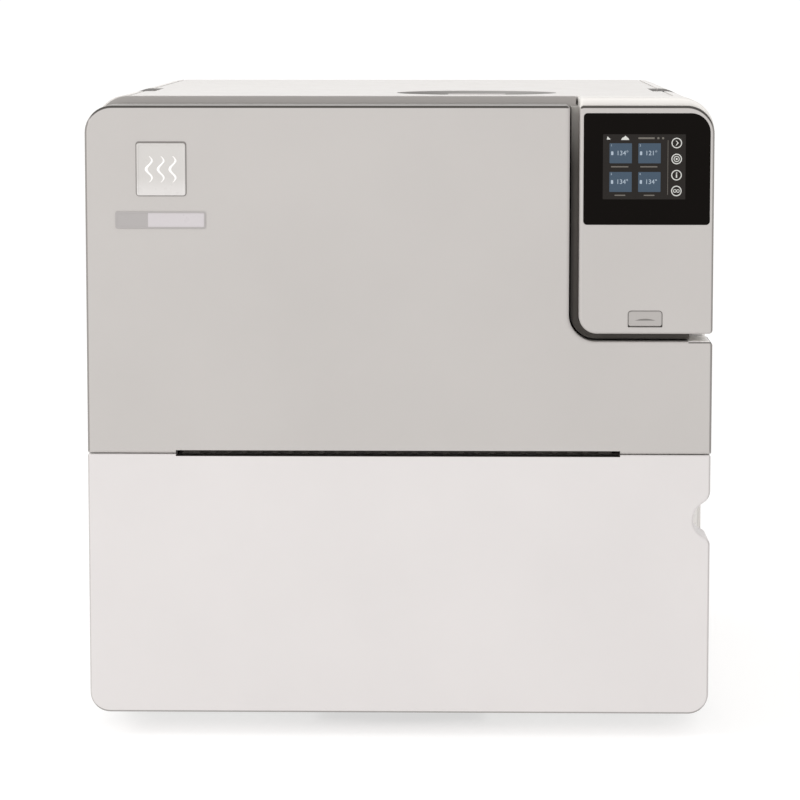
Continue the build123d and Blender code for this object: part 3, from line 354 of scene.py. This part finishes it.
DOOR_GREY = srgb(188, 184, 181)
WHITE = srgb(215, 211, 210)
# The lid's white is a darker copy of the panels' white: painted shade on its top.
LID_SHADED_WHITE = srgb(221, 218, 215)
PANEL_WHITE = srgb(231, 228, 225)
DARK = srgb(52, 49, 46)
# Painted shade: the dark grey laid on the upper front edges, along the lip of the gap and inside the
# vent slot.
PAINTED_EDGE_SHADE = srgb(62, 58, 54)
# Painted shade on the rounded outer side edges.
SIDE_SHADE = srgb(140, 136, 133)
# Painted shade on the top return of the grey skins and under the service door's lower edge.
RETURN_SHADE = srgb(150, 147, 144)
# Painted light: near-white at the right end of the gap and in the frame's finger cups.
PAINTED_PALE_LIGHT = srgb(250, 248, 246)
NOTCH_SHADE = srgb(150, 148, 146)
DISH_SHADE = srgb(172, 170, 168)
# Painted shade for the gap's dark core, painted light for its paler side and top.
GAP_PAINTED_SHADE, GAP_PAINTED_LIGHT_SIDE, GAP_PAINTED_LIGHT_TOP = srgb(44, 39, 35), srgb(84, 79, 74), srgb(158, 155, 151)
# The hood's roof is a darker copy of its white: painted shade.
HOOD_WHITE, HOOD_ROOF_SHADE = srgb(237, 234, 230), srgb(228, 225, 221)

PALETTE = {
    "door_grey": moulded("fascia_grey_plastic", DOOR_GREY),
    "casing_white": painted("white_powder_coat", PANEL_WHITE),
    "white_plastic": moulded("white_moulded_plastic", WHITE, 0.38),
    "black_glass": dark_glass("black_printed_glass", srgb(15, 12, 10)),
    "display": moulded("display_casing", srgb(30, 30, 32), 0.3),
    "dark_plastic": moulded("dark_plastic", DARK, 0.5, 900.0),
    "grey_plastic": moulded("grey_inner_plastic", srgb(142, 144, 146), 0.5, 1100.0, 0.00005),
    "badge": moulded("badge_plastic_with_painted_sheen", srgb(201, 198, 195), 0.3),
    "stainless": brushed("brushed_stainless", srgb(190, 190, 188), 0),
    "polished_steel": machined("bright_steel", srgb(205, 205, 204), 0.16),
    "aluminium": brushed("mill_aluminium", srgb(196, 198, 200), 2, 0.38),
    "brass": machined("machined_brass", srgb(205, 168, 96)),
    "rubber": elastic("black_rubber", srgb(38, 37, 36)),
    "silicone": elastic("red_silicone", srgb(176, 72, 52), 0.45),
    "insulation": fibrous("glass_fibre_blanket", srgb(222, 216, 196)),
    "tank_plastic": polymer("milky_polyethylene", srgb(222, 228, 232)),
    "board_green": circuit("circuit_board", srgb(28, 96, 52)),
    "red_plastic": moulded("red_plastic", srgb(176, 28, 24), 0.3),
}
CHAMBER_STEEL = brushed("chamber_steel", srgb(200, 200, 198), 1, 0.24)


def skin(name, low=0.3, high=0.75):
    """Grey plastic with painted shade dark on its upper front edge, darker on its top return and along
    the lip of the gap, and painted light making the end of the gap pale.
    """
    made = moulded(name, DOOR_GREY)
    made.side_edge_line(SIDE_SHADE).top_edge_line(PAINTED_EDGE_SHADE, low, high)
    across, along, height = made.axes()
    _, _, up = made.axes("Normal")
    # Painted shade on the top return, behind the front face.
    made.zone(made.product(made.step(up, 0.8, 0.98), made.step(along, *RETURN_Y)), RETURN_SHADE)
    # Painted light: the upward faces at the right end of the gap laid near-white.
    gap_end = made.product(made.step(across, *GAP_END_X), made.step(height, *GAP_END_Z))
    made.zone(made.product(gap_end, made.step(up, 0.88, 0.96)), PAINTED_PALE_LIGHT)
    # Painted shade along the lip at the right end of the gap.
    lip = made.product(made.step(up, 0.55, 0.65), made.step(up, 0.92, 0.86))
    return made.zone(made.product(gap_end, lip), PAINTED_EDGE_SHADE)


def frame_grey():
    """The fixed front frame: grey, as painted shade on the crown strip above the door, and the finger
    cups at the side laid near-white as painted light.
    """
    # The frame's grey is painted shade for the crown strip above the door.
    made = painted("frame_powder_coat", srgb(172, 168, 165))
    across, along, height = made.axes()
    # Painted light: the finger cups laid near-white.
    right_side = made.product(made.step(across, *CUP_X), made.step(height, *CUP_Z))
    made.zone(made.product(right_side, made.step(along, *CUP_Y)), PAINTED_PALE_LIGHT)
    return made.zone(made.product(right_side, made.step(height, *BESIDE_GAP_Z)), PAINTED_PALE_LIGHT)


def service_skin():
    """The service door's white plastic, with painted shade greying its edges and darkening the inside
    of the vent slot.
    """
    made = moulded("service_door_plastic", WHITE, 0.38)
    made.side_edge_line(SIDE_SHADE, 0.35)
    across, along, height = made.axes()
    _, front, up = made.axes("Normal")
    # Painted shade under the door's lower front edge.
    under = made.product(front, 2.0, up)
    made.zone(made.product(made.step(under, 0.3, 0.8), made.step(height, *DOOR_FOOT_Z)), RETURN_SHADE)
    # Painted shade inside the vent slot.
    slot = made.product(made.step(across, *SLOT_LEFT_X), made.step(across, *SLOT_RIGHT_X),
                        made.step(height, *SLOT_Z), made.step(along, *SLOT_Y),
                        made.step(up, 0.25, 0.7))
    return made.zone(slot, PAINTED_EDGE_SHADE)


def in_notch(made):
    """A mask over the oblong finger notches on both edges of the lid."""
    across, along, height = made.axes()
    side = made.math("ABSOLUTE", across)
    middle = made.math("ABSOLUTE", made.math("SUBTRACT", along, NOTCH_MIDDLE_Y))
    return made.product(made.step(side, *NOTCH_INNER_X), made.step(side, *NOTCH_OUTER_X),
                        made.step(middle, *NOTCH_HALF_LENGTH), made.step(height, *BELOW_LID_Z))


def lid_paint(name, colour):
    """White powder coat with the shaded lining of the finger notches."""
    made = painted(name, colour)
    return made.zone(in_notch(made), NOTCH_SHADE)


def lid_top():
    """The lid: as its neighbours, and the round filling dish shaded too."""
    made = lid_paint("lid_powder_coat", LID_SHADED_WHITE)
    across, along, height = made.axes()
    aside = made.math("SUBTRACT", across, DISH_X)
    behind = made.math("SUBTRACT", along, DISH_Y)
    squared = made.math("ADD", made.product(aside, aside), made.product(behind, behind))
    outside_r, inside_r = DISH_R
    round_dish = made.step(squared, outside_r ** 2, inside_r ** 2)
    return made.zone(made.product(round_dish, made.step(height, *BELOW_LID_Z)), DISH_SHADE)


def gap_lining():
    """The L-shaped gap's lining: painted shade dark at its core, painted light paler to the right and
    near the top.
    """
    made = moulded("gap_lining_plastic", GAP_PAINTED_SHADE, 0.5, 900.0)
    across, _, height = made.axes()
    # Painted light, paler to the right and near the top.
    made.zone(made.step(across, *LINING_RIGHT_X), GAP_PAINTED_LIGHT_SIDE)
    return made.zone(made.product(made.step(height, *LINING_TOP_Z), 0.85), GAP_PAINTED_LIGHT_TOP)


def hood():
    """The control head's housing: white, with painted shade making its roof a little darker."""
    made = moulded("control_head_plastic", HOOD_WHITE, 0.38)
    # Painted shade on the roof.
    return made.zone(made.step(made.axes("Normal")[2], 0.6, 0.95), HOOD_ROOF_SHADE)


SLOTS = {row["node"]: row["material_slot"] for row in frame["record"]["subparts"]}
OWN_MATERIAL = {
    "chamber_vessel": CHAMBER_STEEL, "instrument_trays": CHAMBER_STEEL, "tray_rack": CHAMBER_STEEL,
    "door_cover": skin("door_skin_plastic"),
    "control_fascia": skin("fascia_skin_plastic", 0.15, 0.5),
    "front_frame": frame_grey(), "gap_trim": gap_lining(), "control_housing": hood(),
    "service_door": service_skin(), "top_lid": lid_top(),
    "side_panel_left": lid_paint("left_panel_powder_coat", PANEL_WHITE),
    "side_panel_right": lid_paint("right_panel_powder_coat", PANEL_WHITE),
    # The vent strip is laid paler than the dark plastic, as painted light inside the shaded slot.
    "vent_strip": moulded("vent_plastic", srgb(104, 98, 93), 0.5, 900.0),
    "usb_flap": moulded("flap_plastic", srgb(173, 169, 166)),
}


def dress(obj, surface):
    """Gives every face of obj one material."""
    obj.data.materials.clear()
    obj.data.materials.append(surface.material)


for node_name, node in NODES.items():
    dress(node, OWN_MATERIAL.get(node_name, PALETTE[SLOTS[node_name]]))


# ---- mesh helpers ----------------------------------------------------------------------
def piece(name, bm, surface, body, smooth=35.0):
    """Turns a bmesh into a named object that rides on a body."""
    bmesh.ops.recalc_face_normals(bm, faces=bm.faces)
    mesh = bpy.data.meshes.new(name)
    bm.to_mesh(mesh)
    bm.free()
    obj = bpy.data.objects.new(name, mesh)
    bpy.context.collection.objects.link(obj)
    mesh.materials.append(surface.material)
    mesh.shade_smooth()
    mesh.set_sharp_from_angle(angle=radians(smooth))
    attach(obj, body)
    return obj


def rounded(x, z, radius, steps=8):
    """Corner-rounded rectangle as (x, z) points; radius is one value or four from low left."""
    radii = radius if isinstance(radius, (list, tuple)) else [radius] * 4
    corners = [(x[0], z[0], 1, 1, 180), (x[1], z[0], -1, 1, 270),
               (x[1], z[1], -1, -1, 0), (x[0], z[1], 1, -1, 90)]
    points = []
    for (cx, cz, sx, sz, start), r in zip(corners, radii):
        for k in range(steps + 1):
            angle = radians(start + 90 * k / steps)
            points.append((cx + sx * r + r * cos(angle), cz + sz * r + r * sin(angle)))
    return points


def grown(x, z, margin):
    """The two spans of a rectangle, grown all round by a margin, or shrunk if it is negative."""
    return (x[0] - margin, x[1] + margin), (z[0] - margin, z[1] + margin)


def circle(x, z, radius, steps=40):
    """Points of a circle in the XZ plane."""
    turns = [2 * pi * k / steps for k in range(steps)]
    return [(x + radius * cos(turn), z + radius * sin(turn)) for turn in turns]


def ring_of(bm, outline, y):
    """The vertices of an outline standing at one depth."""
    return [bm.verts.new((px, y, pz)) for px, pz in outline]


def skinned(bm, rings):
    """Walls between each ring of vertices and the next."""
    for first, second in zip(rings, rings[1:]):
        for k in range(len(first)):
            n = (k + 1) % len(first)
            bm.faces.new((first[k], first[n], second[n], second[k]))


def capped(bm, rings):
    """Walls between rings, closed at both ends."""
    skinned(bm, rings)
    bm.faces.new(rings[0])
    bm.faces.new(rings[-1])


def plate(bm, outline, back, front):
    """A flat plate facing the front."""
    capped(bm, [ring_of(bm, outline, back), ring_of(bm, outline, front)])


def band(bm, outer, inner, back, front):
    """A flat ring between two outlines with the same number of points."""
    loops = [ring_of(bm, outer, back), ring_of(bm, outer, front),
             ring_of(bm, inner, front), ring_of(bm, inner, back)]
    skinned(bm, loops + loops[:1])


# ---- display -------------------------------------------------------------------------------
glass_low, glass_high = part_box("screen_glass")
GLASS_FRONT = glass_low.y
SCREEN_LEFT = glass_low.x + 14.6 * MM
SCREEN_TOP = glass_high.z - 15.9 * MM
SCREEN_W, SCREEN_H = 62.8, 49.4
INK = 0.04 * MM

screen_panel = lit("display_background", srgb(36, 33, 31), 0.15)
screen_tile = lit("display_tile_blue", srgb(62, 76, 90), 0.25)
screen_white = lit("display_white", srgb(196, 196, 192), 0.12)
screen_pale = lit("display_pale_blue", srgb(158, 170, 182), 0.15)
screen_grey = lit("display_grey", srgb(104, 100, 94), 0.15)


def on_screen(right, down):
    """A point on the display, from its upper left corner, in mm."""
    return SCREEN_LEFT + right * MM, SCREEN_TOP - down * MM


def screen_piece(name, surface, level, shapes):
    """Flat shapes printed at one level above the glass; their sizes are in mm on the display."""
    bm = bmesh.new()
    front = GLASS_FRONT - level * INK
    back = front + INK
    for kind, *size in shapes:
        if kind == "bar":
            right, down, width, height, corner = size
            left, top = on_screen(right, down)
            spans = (left, left + width * MM), (top - height * MM, top)
            plate(bm, rounded(*spans, corner * MM, 4), back, front)
        if kind == "disc":
            right, down, radius = size
            plate(bm, circle(*on_screen(right, down), radius * MM, 28), back, front)
        if kind == "ring":
            right, down, radius, line = size
            centre = on_screen(right, down)
            band(bm, circle(*centre, radius * MM), circle(*centre, (radius - line) * MM), back, front)
        if kind == "shape":
            plate(bm, [on_screen(*p) for p in size[0]], back, front)
    return piece(name, bm, surface, "housing")


screen_piece("display_area", screen_panel, 1, [("bar", 0, 0, SCREEN_W, SCREEN_H, 0.6)])

TILE_W, TILE_H, TILE_CORNER = 17.0, 15.2, 0.5
TILE_AT = [(5.0, 6.8), (26.9, 6.8), (5.0, 28.6), (26.9, 28.6)]
tiles = [("bar", x, y, TILE_W, TILE_H, TILE_CORNER) for x, y in TILE_AT]
screen_piece("display_tiles", screen_tile, 2, tiles)

ICON_X, ICON_R, ICON_LINE = 56.0, 4.0, 0.75
ICON_Y = [6.6, 18.7, 31.0, 43.0]
arrow_y, target_y, about_y, pair_y = ICON_Y
ARROW = [(-0.9, -1.8), (-0.2, -1.8), (1.5, 0.0), (-0.2, 1.8), (-0.9, 1.8), (0.5, 0.0)]
CLOUD = [(13.6, 4.3), (14.6, 2.6), (15.8, 2.2), (17.0, 1.0), (18.2, 2.2), (19.0, 2.6), (19.9, 4.3)]
PEAK = [(2.8, 4.0), (3.4, 1.6), (4.2, 2.4), (5.4, 3.4), (5.4, 4.0)]
icons = [("ring", ICON_X, y, ICON_R, ICON_LINE) for y in ICON_Y]
icons += [("shape", [(ICON_X + x, arrow_y + y) for x, y in ARROW])]
icons += [("ring", ICON_X, target_y, 2.3, 0.6), ("disc", ICON_X, target_y, 0.8)]
icons += [("disc", ICON_X, about_y - 1.6, 0.55), ("bar", ICON_X - 0.5, about_y - 0.7, 1.0, 2.7, 0.3)]
icons += [("ring", ICON_X + x, pair_y, 1.3, 0.5) for x in (-1.2, 1.2)]
icons += [("shape", CLOUD), ("shape", PEAK)]
screen_piece("display_icons", screen_white, 2, icons)

CAPTIONS = [(6.2, 24.2, 13.2), (28.4, 24.2, 13.0), (9.0, 45.9, 8.2), (31.2, 45.9, 8.2)]
HEADING, DIVIDER = ("bar", 26.8, 2.3, 12.4, 1.3, 0.3), ("bar", 49.2, 4.5, 0.35, 41.5, 0.1)
marks = [("bar", x, y, width, 0.9, 0.3) for x, y, width in CAPTIONS]
marks += [HEADING] + [("bar", x, 2.2, 1.6, 1.5, 0.4) for x in (41.2, 44.8)] + [DIVIDER]
screen_piece("display_marks", screen_grey, 2, marks)
cycle_signs = [("bar", x + 1.2, y + 6.2, 1.7, 2.8, 0.4) for x, y in TILE_AT]
screen_piece("display_cycle_signs", screen_pale, 3, cycle_signs)


def numeral(name, text, right, down, height):
    """Lit numerals on the display."""
    curve = bpy.data.curves.new(name, "FONT")
    curve.body = text
    curve.size = height * MM * 1.4
    curve.offset = 0.02 * MM
    curve.align_x = "CENTER"
    curve.align_y = "CENTER"
    temp = bpy.data.objects.new(name + "_curve", curve)
    bpy.context.collection.objects.link(temp)
    bpy.context.view_layer.update()
    evaluated = temp.evaluated_get(bpy.context.evaluated_depsgraph_get())
    mesh = bpy.data.meshes.new_from_object(evaluated)
    bpy.data.objects.remove(temp)
    x, z = on_screen(right, down)
    upright = Matrix.Rotation(pi / 2, 4, "X")
    mesh.transform(Matrix.Translation((x, GLASS_FRONT - 3 * INK, z)) @ upright)
    mesh.materials.clear()
    mesh.materials.append(screen_pale.material)
    mesh.name = name
    obj = bpy.data.objects.new(name, mesh)
    bpy.context.collection.objects.link(obj)
    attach(obj, "housing")
    return obj


TILE_TEXT = ("134°", "121°", "134°", "134°")
for index, ((left, top), text) in enumerate(zip(TILE_AT, TILE_TEXT), start=1):
    numeral(f"tile_numeral_{index}", text, left + TILE_W * 0.58, top + TILE_H * 0.5, 3.5)
    numeral(f"tile_index_{index}", str(index), left + 1.4, top + 1.7, 1.5)

# ---- badge and label on the door -----------------------------------------------------------
badge_low, badge_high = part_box("badge_plate")
BADGE_FACE = PALETTE["badge"]
# Painted sheen: the lower part of the badge laid a lighter grey.
BADGE_FACE.zone(BADGE_FACE.step(BADGE_FACE.axes()[2], *BADGE_SHEEN_Z), srgb(211, 208, 206))
SHADOW_BAND_FRONT = -0.29915


def badge_pillow():
    """A square badge: shadow line, raised bright frame and a slightly dished field."""
    bm = bmesh.new()
    x, z = (badge_low.x, badge_high.x), (badge_low.z, badge_high.z)
    inset_and_depth = [(0.0, 1.9), (0.0, 0.30), (0.25, 0.08), (0.6, 0.0), (1.1, 0.05),
                       (1.5, 0.30), (2.2, 0.38), (8.0, 0.26), (14.0, 0.20)]
    rings = []
    for inset, depth in inset_and_depth:
        corner = max(1.8 - inset * 0.5, 0.5) * MM
        outline = rounded(*grown(x, z, -inset * MM), corner)
        rings.append(ring_of(bm, outline, badge_low.y + depth * MM))
    capped(bm, rings)
    return piece("badge_pillow", bm, BADGE_FACE, "door", 50)


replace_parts(badge_pillow(), "badge_plate")


def badge_surround():
    """A thin dark-grey band round the badge, painted shade for its shadow gap, a little heavier along
    the top.
    """
    bm = bmesh.new()
    x, z = (badge_low.x, badge_high.x), (badge_low.z, badge_high.z)
    outer = rounded((x[0] - 0.75 * MM, x[1] + 0.75 * MM), (z[0] - 0.6 * MM, z[1] + 1.4 * MM), 2.5 * MM)
    inner = rounded(*grown(x, z, -0.05 * MM), 1.8 * MM)
    band(bm, outer, inner, badge_high.y, SHADOW_BAND_FRONT)
    # Painted shade: a dark grey band for the shadow gap round the badge.
    surround = moulded("badge_shadow_band_plastic", srgb(128, 124, 121), 0.5)
    return piece("badge_surround", bm, surround, "door")


badge_surround()


def badge_waves():
    """Three plain wavy lines in relief, a generic sign for steam."""
    bm = bmesh.new()
    middle = (badge_low.x + badge_high.x) / 2
    low, tall, half = badge_low.z + 10 * MM, 20 * MM, 1.5 * MM
    sway, steps = 2.2 * MM, 32
    front, back = badge_low.y + 0.02 * MM, badge_low.y + 0.5 * MM
    for shift in (-9 * MM, 0.0, 9 * MM):
        rows = []
        for k in range(steps + 1):
            t = k / steps
            x = middle + shift + sway * sin(t * 3 * pi)
            taper = half * (0.35 + 0.65 * sin(pi * t))
            z = low + t * tall
            section = ((x - taper, back), (x - taper * 0.5, front),
                       (x + taper * 0.5, front), (x + taper, back))
            rows.append([bm.verts.new((px, py, z)) for px, py in section])
        for first, second in zip(rows, rows[1:]):
            for a in range(4):
                b = (a + 1) % 4
                bm.faces.new((first[a], second[a], second[b], first[b]))
        bm.faces.new(rows[0])
        bm.faces.new(rows[-1])
    relief = moulded("bright_badge_relief", srgb(246, 244, 242), 0.25)
    return piece("badge_waves", bm, relief, "door", 50)


badge_waves()

label_low, label_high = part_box("label_plate")
LABEL_GREY = moulded("label_grey_plastic", srgb(168, 164, 163), 0.4)


def label_strip():
    """A long blank name strip: a grey rim and left field, and a paler right field."""
    bm = bmesh.new()
    x, z = (label_low.x, label_high.x), (label_low.z, label_high.z)
    inner_x, inner_z = (x[0] + 1.3 * MM, x[1] - 1.3 * MM), (z[0] + 1.2 * MM, z[1] - 1.2 * MM)
    inner = rounded(inner_x, inner_z, 0.6 * MM)
    band(bm, rounded(x, z, 1.4 * MM), inner, label_high.y, label_low.y)
    rim_piece = piece("label_rim", bm, LABEL_GREY, "door")
    split = x[0] + 25.0 * MM
    pale = moulded("label_pale_plastic", srgb(198, 193, 195), 0.3)
    for name, span, surface in (("label_field_left", (inner_x[0], split), LABEL_GREY),
                                ("label_field_right", (split, inner_x[1]), pale)):
        bm = bmesh.new()
        plate(bm, rounded(span, inner_z, 0.3 * MM), label_high.y, label_low.y + 0.12 * MM)
        piece(name, bm, surface, "door")
    return rim_piece


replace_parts(label_strip(), "label_plate")

# ---- catch and surround of the port flap ---------------------------------------------------
flap_low, flap_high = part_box("usb_flap")
SURROUND_FRONT, SURROUND_BACK = -0.29912, -0.2970


def flap_catch():
    """A shallow crescent ridge for a fingernail, low on the flap."""
    bm = bmesh.new()
    middle = (flap_low.x + flap_high.x) / 2
    base = flap_low.z + 4.6 * MM
    half, tallest, proudest, sunk = 8.0 * MM, 1.5 * MM, 0.45 * MM, 0.05 * MM
    steps = 24
    rows = []
    for k in range(steps + 1):
        t = 2 * k / steps - 1
        x = middle + t * half
        rise, lift = (1 - t * t) * tallest, (1 - t * t) * proudest
        section = ((flap_low.y + sunk, base), (flap_low.y - lift, base + rise * 0.35),
                   (flap_low.y + sunk, base + rise + 0.02 * MM))
        rows.append([bm.verts.new((x, py, pz)) for py, pz in section])
    for first, second in zip(rows, rows[1:]):
        for a, b in ((0, 1), (1, 2), (2, 0)):
            bm.faces.new((first[a], second[a], second[b], first[b]))
    # Painted shade: the catch laid darker grey than the flap, for the shade of its crescent.
    catch = moulded("catch_plastic", srgb(120, 117, 114))
    return piece("flap_catch", bm, catch, "port_flap", 60)


flap_catch()


def flap_surround():
    """A slim dark-grey surround that closes the gap round the flap, its colour painted shade of the
    gap, square below so that it can tip out.
    """
    bm = bmesh.new()
    x, z = (flap_low.x, flap_high.x), (flap_low.z, flap_high.z)
    outer_radii = [1.0 * MM, 1.0 * MM, 2.8 * MM, 2.8 * MM]
    inner_radii = [0.05 * MM, 0.05 * MM, 2.3 * MM, 2.3 * MM]
    inner_x, inner_z = (x[0] - 0.15 * MM, x[1] + 0.15 * MM), (z[0] - 0.25 * MM, z[1] + 0.12 * MM)
    outer = rounded(*grown(x, z, 0.6 * MM), outer_radii)
    band(bm, outer, rounded(inner_x, inner_z, inner_radii), SURROUND_BACK, SURROUND_FRONT)
    # Painted shade: the surround's dark grey stands in for the shade of the gap round the flap.
    surround = moulded("flap_surround_plastic", srgb(112, 108, 105), 0.45)
    return piece("flap_surround", bm, surround, "housing")


flap_surround()

# ---- blank data plate on the back ----------------------------------------------------------
PLATE_W, PLATE_H, PLATE_T, PLATE_RISE = 64 * MM, 40 * MM, 0.8 * MM, 45 * MM
RIVET_INSET, RIVET_SIDES = 4.5 * MM, 20
RIVET_R_AND_RISE = [(1.9, 0.0), (1.8, 0.5), (1.3, 0.95), (0.5, 1.15)]


def data_plate():
    """A blank brushed plate, held by four domed rivets, above the mains inlet."""
    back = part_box("rear_panel")[1].y
    inlet_low, inlet_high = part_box("mains_inlet")
    x0, z0 = (inlet_low.x + inlet_high.x) / 2 - PLATE_W / 2, inlet_high.z + PLATE_RISE
    x, z = (x0, x0 + PLATE_W), (z0, z0 + PLATE_H)
    bm = bmesh.new()
    plate(bm, rounded(x, z, 3 * MM), back, back + PLATE_T)
    for px in (x[0] + RIVET_INSET, x[1] - RIVET_INSET):
        for pz in (z[0] + RIVET_INSET, z[1] - RIVET_INSET):
            capped(bm, [ring_of(bm, circle(px, pz, r * MM, RIVET_SIDES), back + PLATE_T + rise * MM)
                        for r, rise in RIVET_R_AND_RISE])
    metal = brushed("plate_aluminium", srgb(202, 202, 200), 0, 0.34)
    return piece("data_plate", bm, metal, "housing")


data_plate()


# ---- stage, light and camera ---------------------------------------------------------------
def pale_floor():
    """A wide pale floor that gives a little light of its own."""
    bm = bmesh.new()
    bmesh.ops.create_grid(bm, x_segments=8, y_segments=8, size=300.0)
    mesh = bpy.data.meshes.new("floor")
    bm.to_mesh(mesh)
    bm.free()
    obj = bpy.data.objects.new("floor", mesh)
    bpy.context.collection.objects.link(obj)
    surface = Surface("pale_floor", (0.45, 0.45, 0.45, 1.0), 0.9, specular=0.0)
    surface.mottle(2.0, 0.004)
    surface.set(Emission_Color=(1.0, 0.995, 0.99, 1.0), Emission_Strength=0.63)
    mesh.materials.append(surface.material)
    return obj


floor = pale_floor()

WORLD_COLOUR = (1.0, 0.992, 0.985, 1.0)
SIDEWAYS = (0.45, 0.95)
WORLD_AHEAD, WORLD_ASIDE = 1.06, 0.42


def studio_world():
    """White surroundings that fall off to either side, so upright edges read against them."""
    world = bpy.data.worlds.new("studio")
    bpy.context.scene.world = world
    world.use_nodes = True
    tree = world.node_tree
    background = tree.nodes["Background"]
    background.inputs["Color"].default_value = WORLD_COLOUR
    direction = tree.nodes.new("ShaderNodeTexCoord").outputs["Generated"]
    parts = tree.nodes.new("ShaderNodeSeparateXYZ")
    sideways = tree.nodes.new("ShaderNodeMath")
    sideways.operation = "ABSOLUTE"
    ramp = tree.nodes.new("ShaderNodeMapRange")
    ramp.interpolation_type = "SMOOTHSTEP"
    limits = {"From Min": SIDEWAYS[0], "From Max": SIDEWAYS[1],
              "To Min": WORLD_AHEAD, "To Max": WORLD_ASIDE}
    for socket, value in limits.items():
        ramp.inputs[socket].default_value = value
    tree.links.new(direction, parts.inputs[0])
    tree.links.new(parts.outputs["X"], sideways.inputs[0])
    tree.links.new(sideways.outputs[0], ramp.inputs["Value"])
    tree.links.new(ramp.outputs["Result"], background.inputs["Strength"])


studio_world()

KEY_AT, KEY_TARGET, KEY_SIZE, KEY_WATTS = (-1.9, -1.7, 1.7), (-0.1, -0.2, 0.35), (1.4, 1.0), 22


def key_softbox():
    """A large area light from the upper left, pointed at the front."""
    light = bpy.data.lights.new("key", "AREA")
    light.shape = "RECTANGLE"
    light.size, light.size_y = KEY_SIZE
    light.energy = KEY_WATTS
    obj = bpy.data.objects.new("key", light)
    obj.location = KEY_AT
    obj.rotation_euler = (Vector(KEY_TARGET) - Vector(KEY_AT)).to_track_quat("-Z", "Y").to_euler()
    bpy.context.collection.objects.link(obj)


key_softbox()

CAMERA_AT = (0.0505, -2.8868, 0.5699)
CAMERA_PITCH = radians(-6.715)
CAMERA_YAW = radians(1.101)
SENSOR, FOCAL = 36, 152.73
camera_data = bpy.data.cameras.new("camera")
camera_data.sensor_width = SENSOR
camera_data.lens = FOCAL
camera = bpy.data.objects.new("camera", camera_data)
camera.location = CAMERA_AT
camera.rotation_euler = (pi / 2 + CAMERA_PITCH, 0, CAMERA_YAW)
bpy.context.collection.objects.link(camera)
bpy.context.scene.camera = camera
bpy.context.scene.view_settings.view_transform = "Standard"
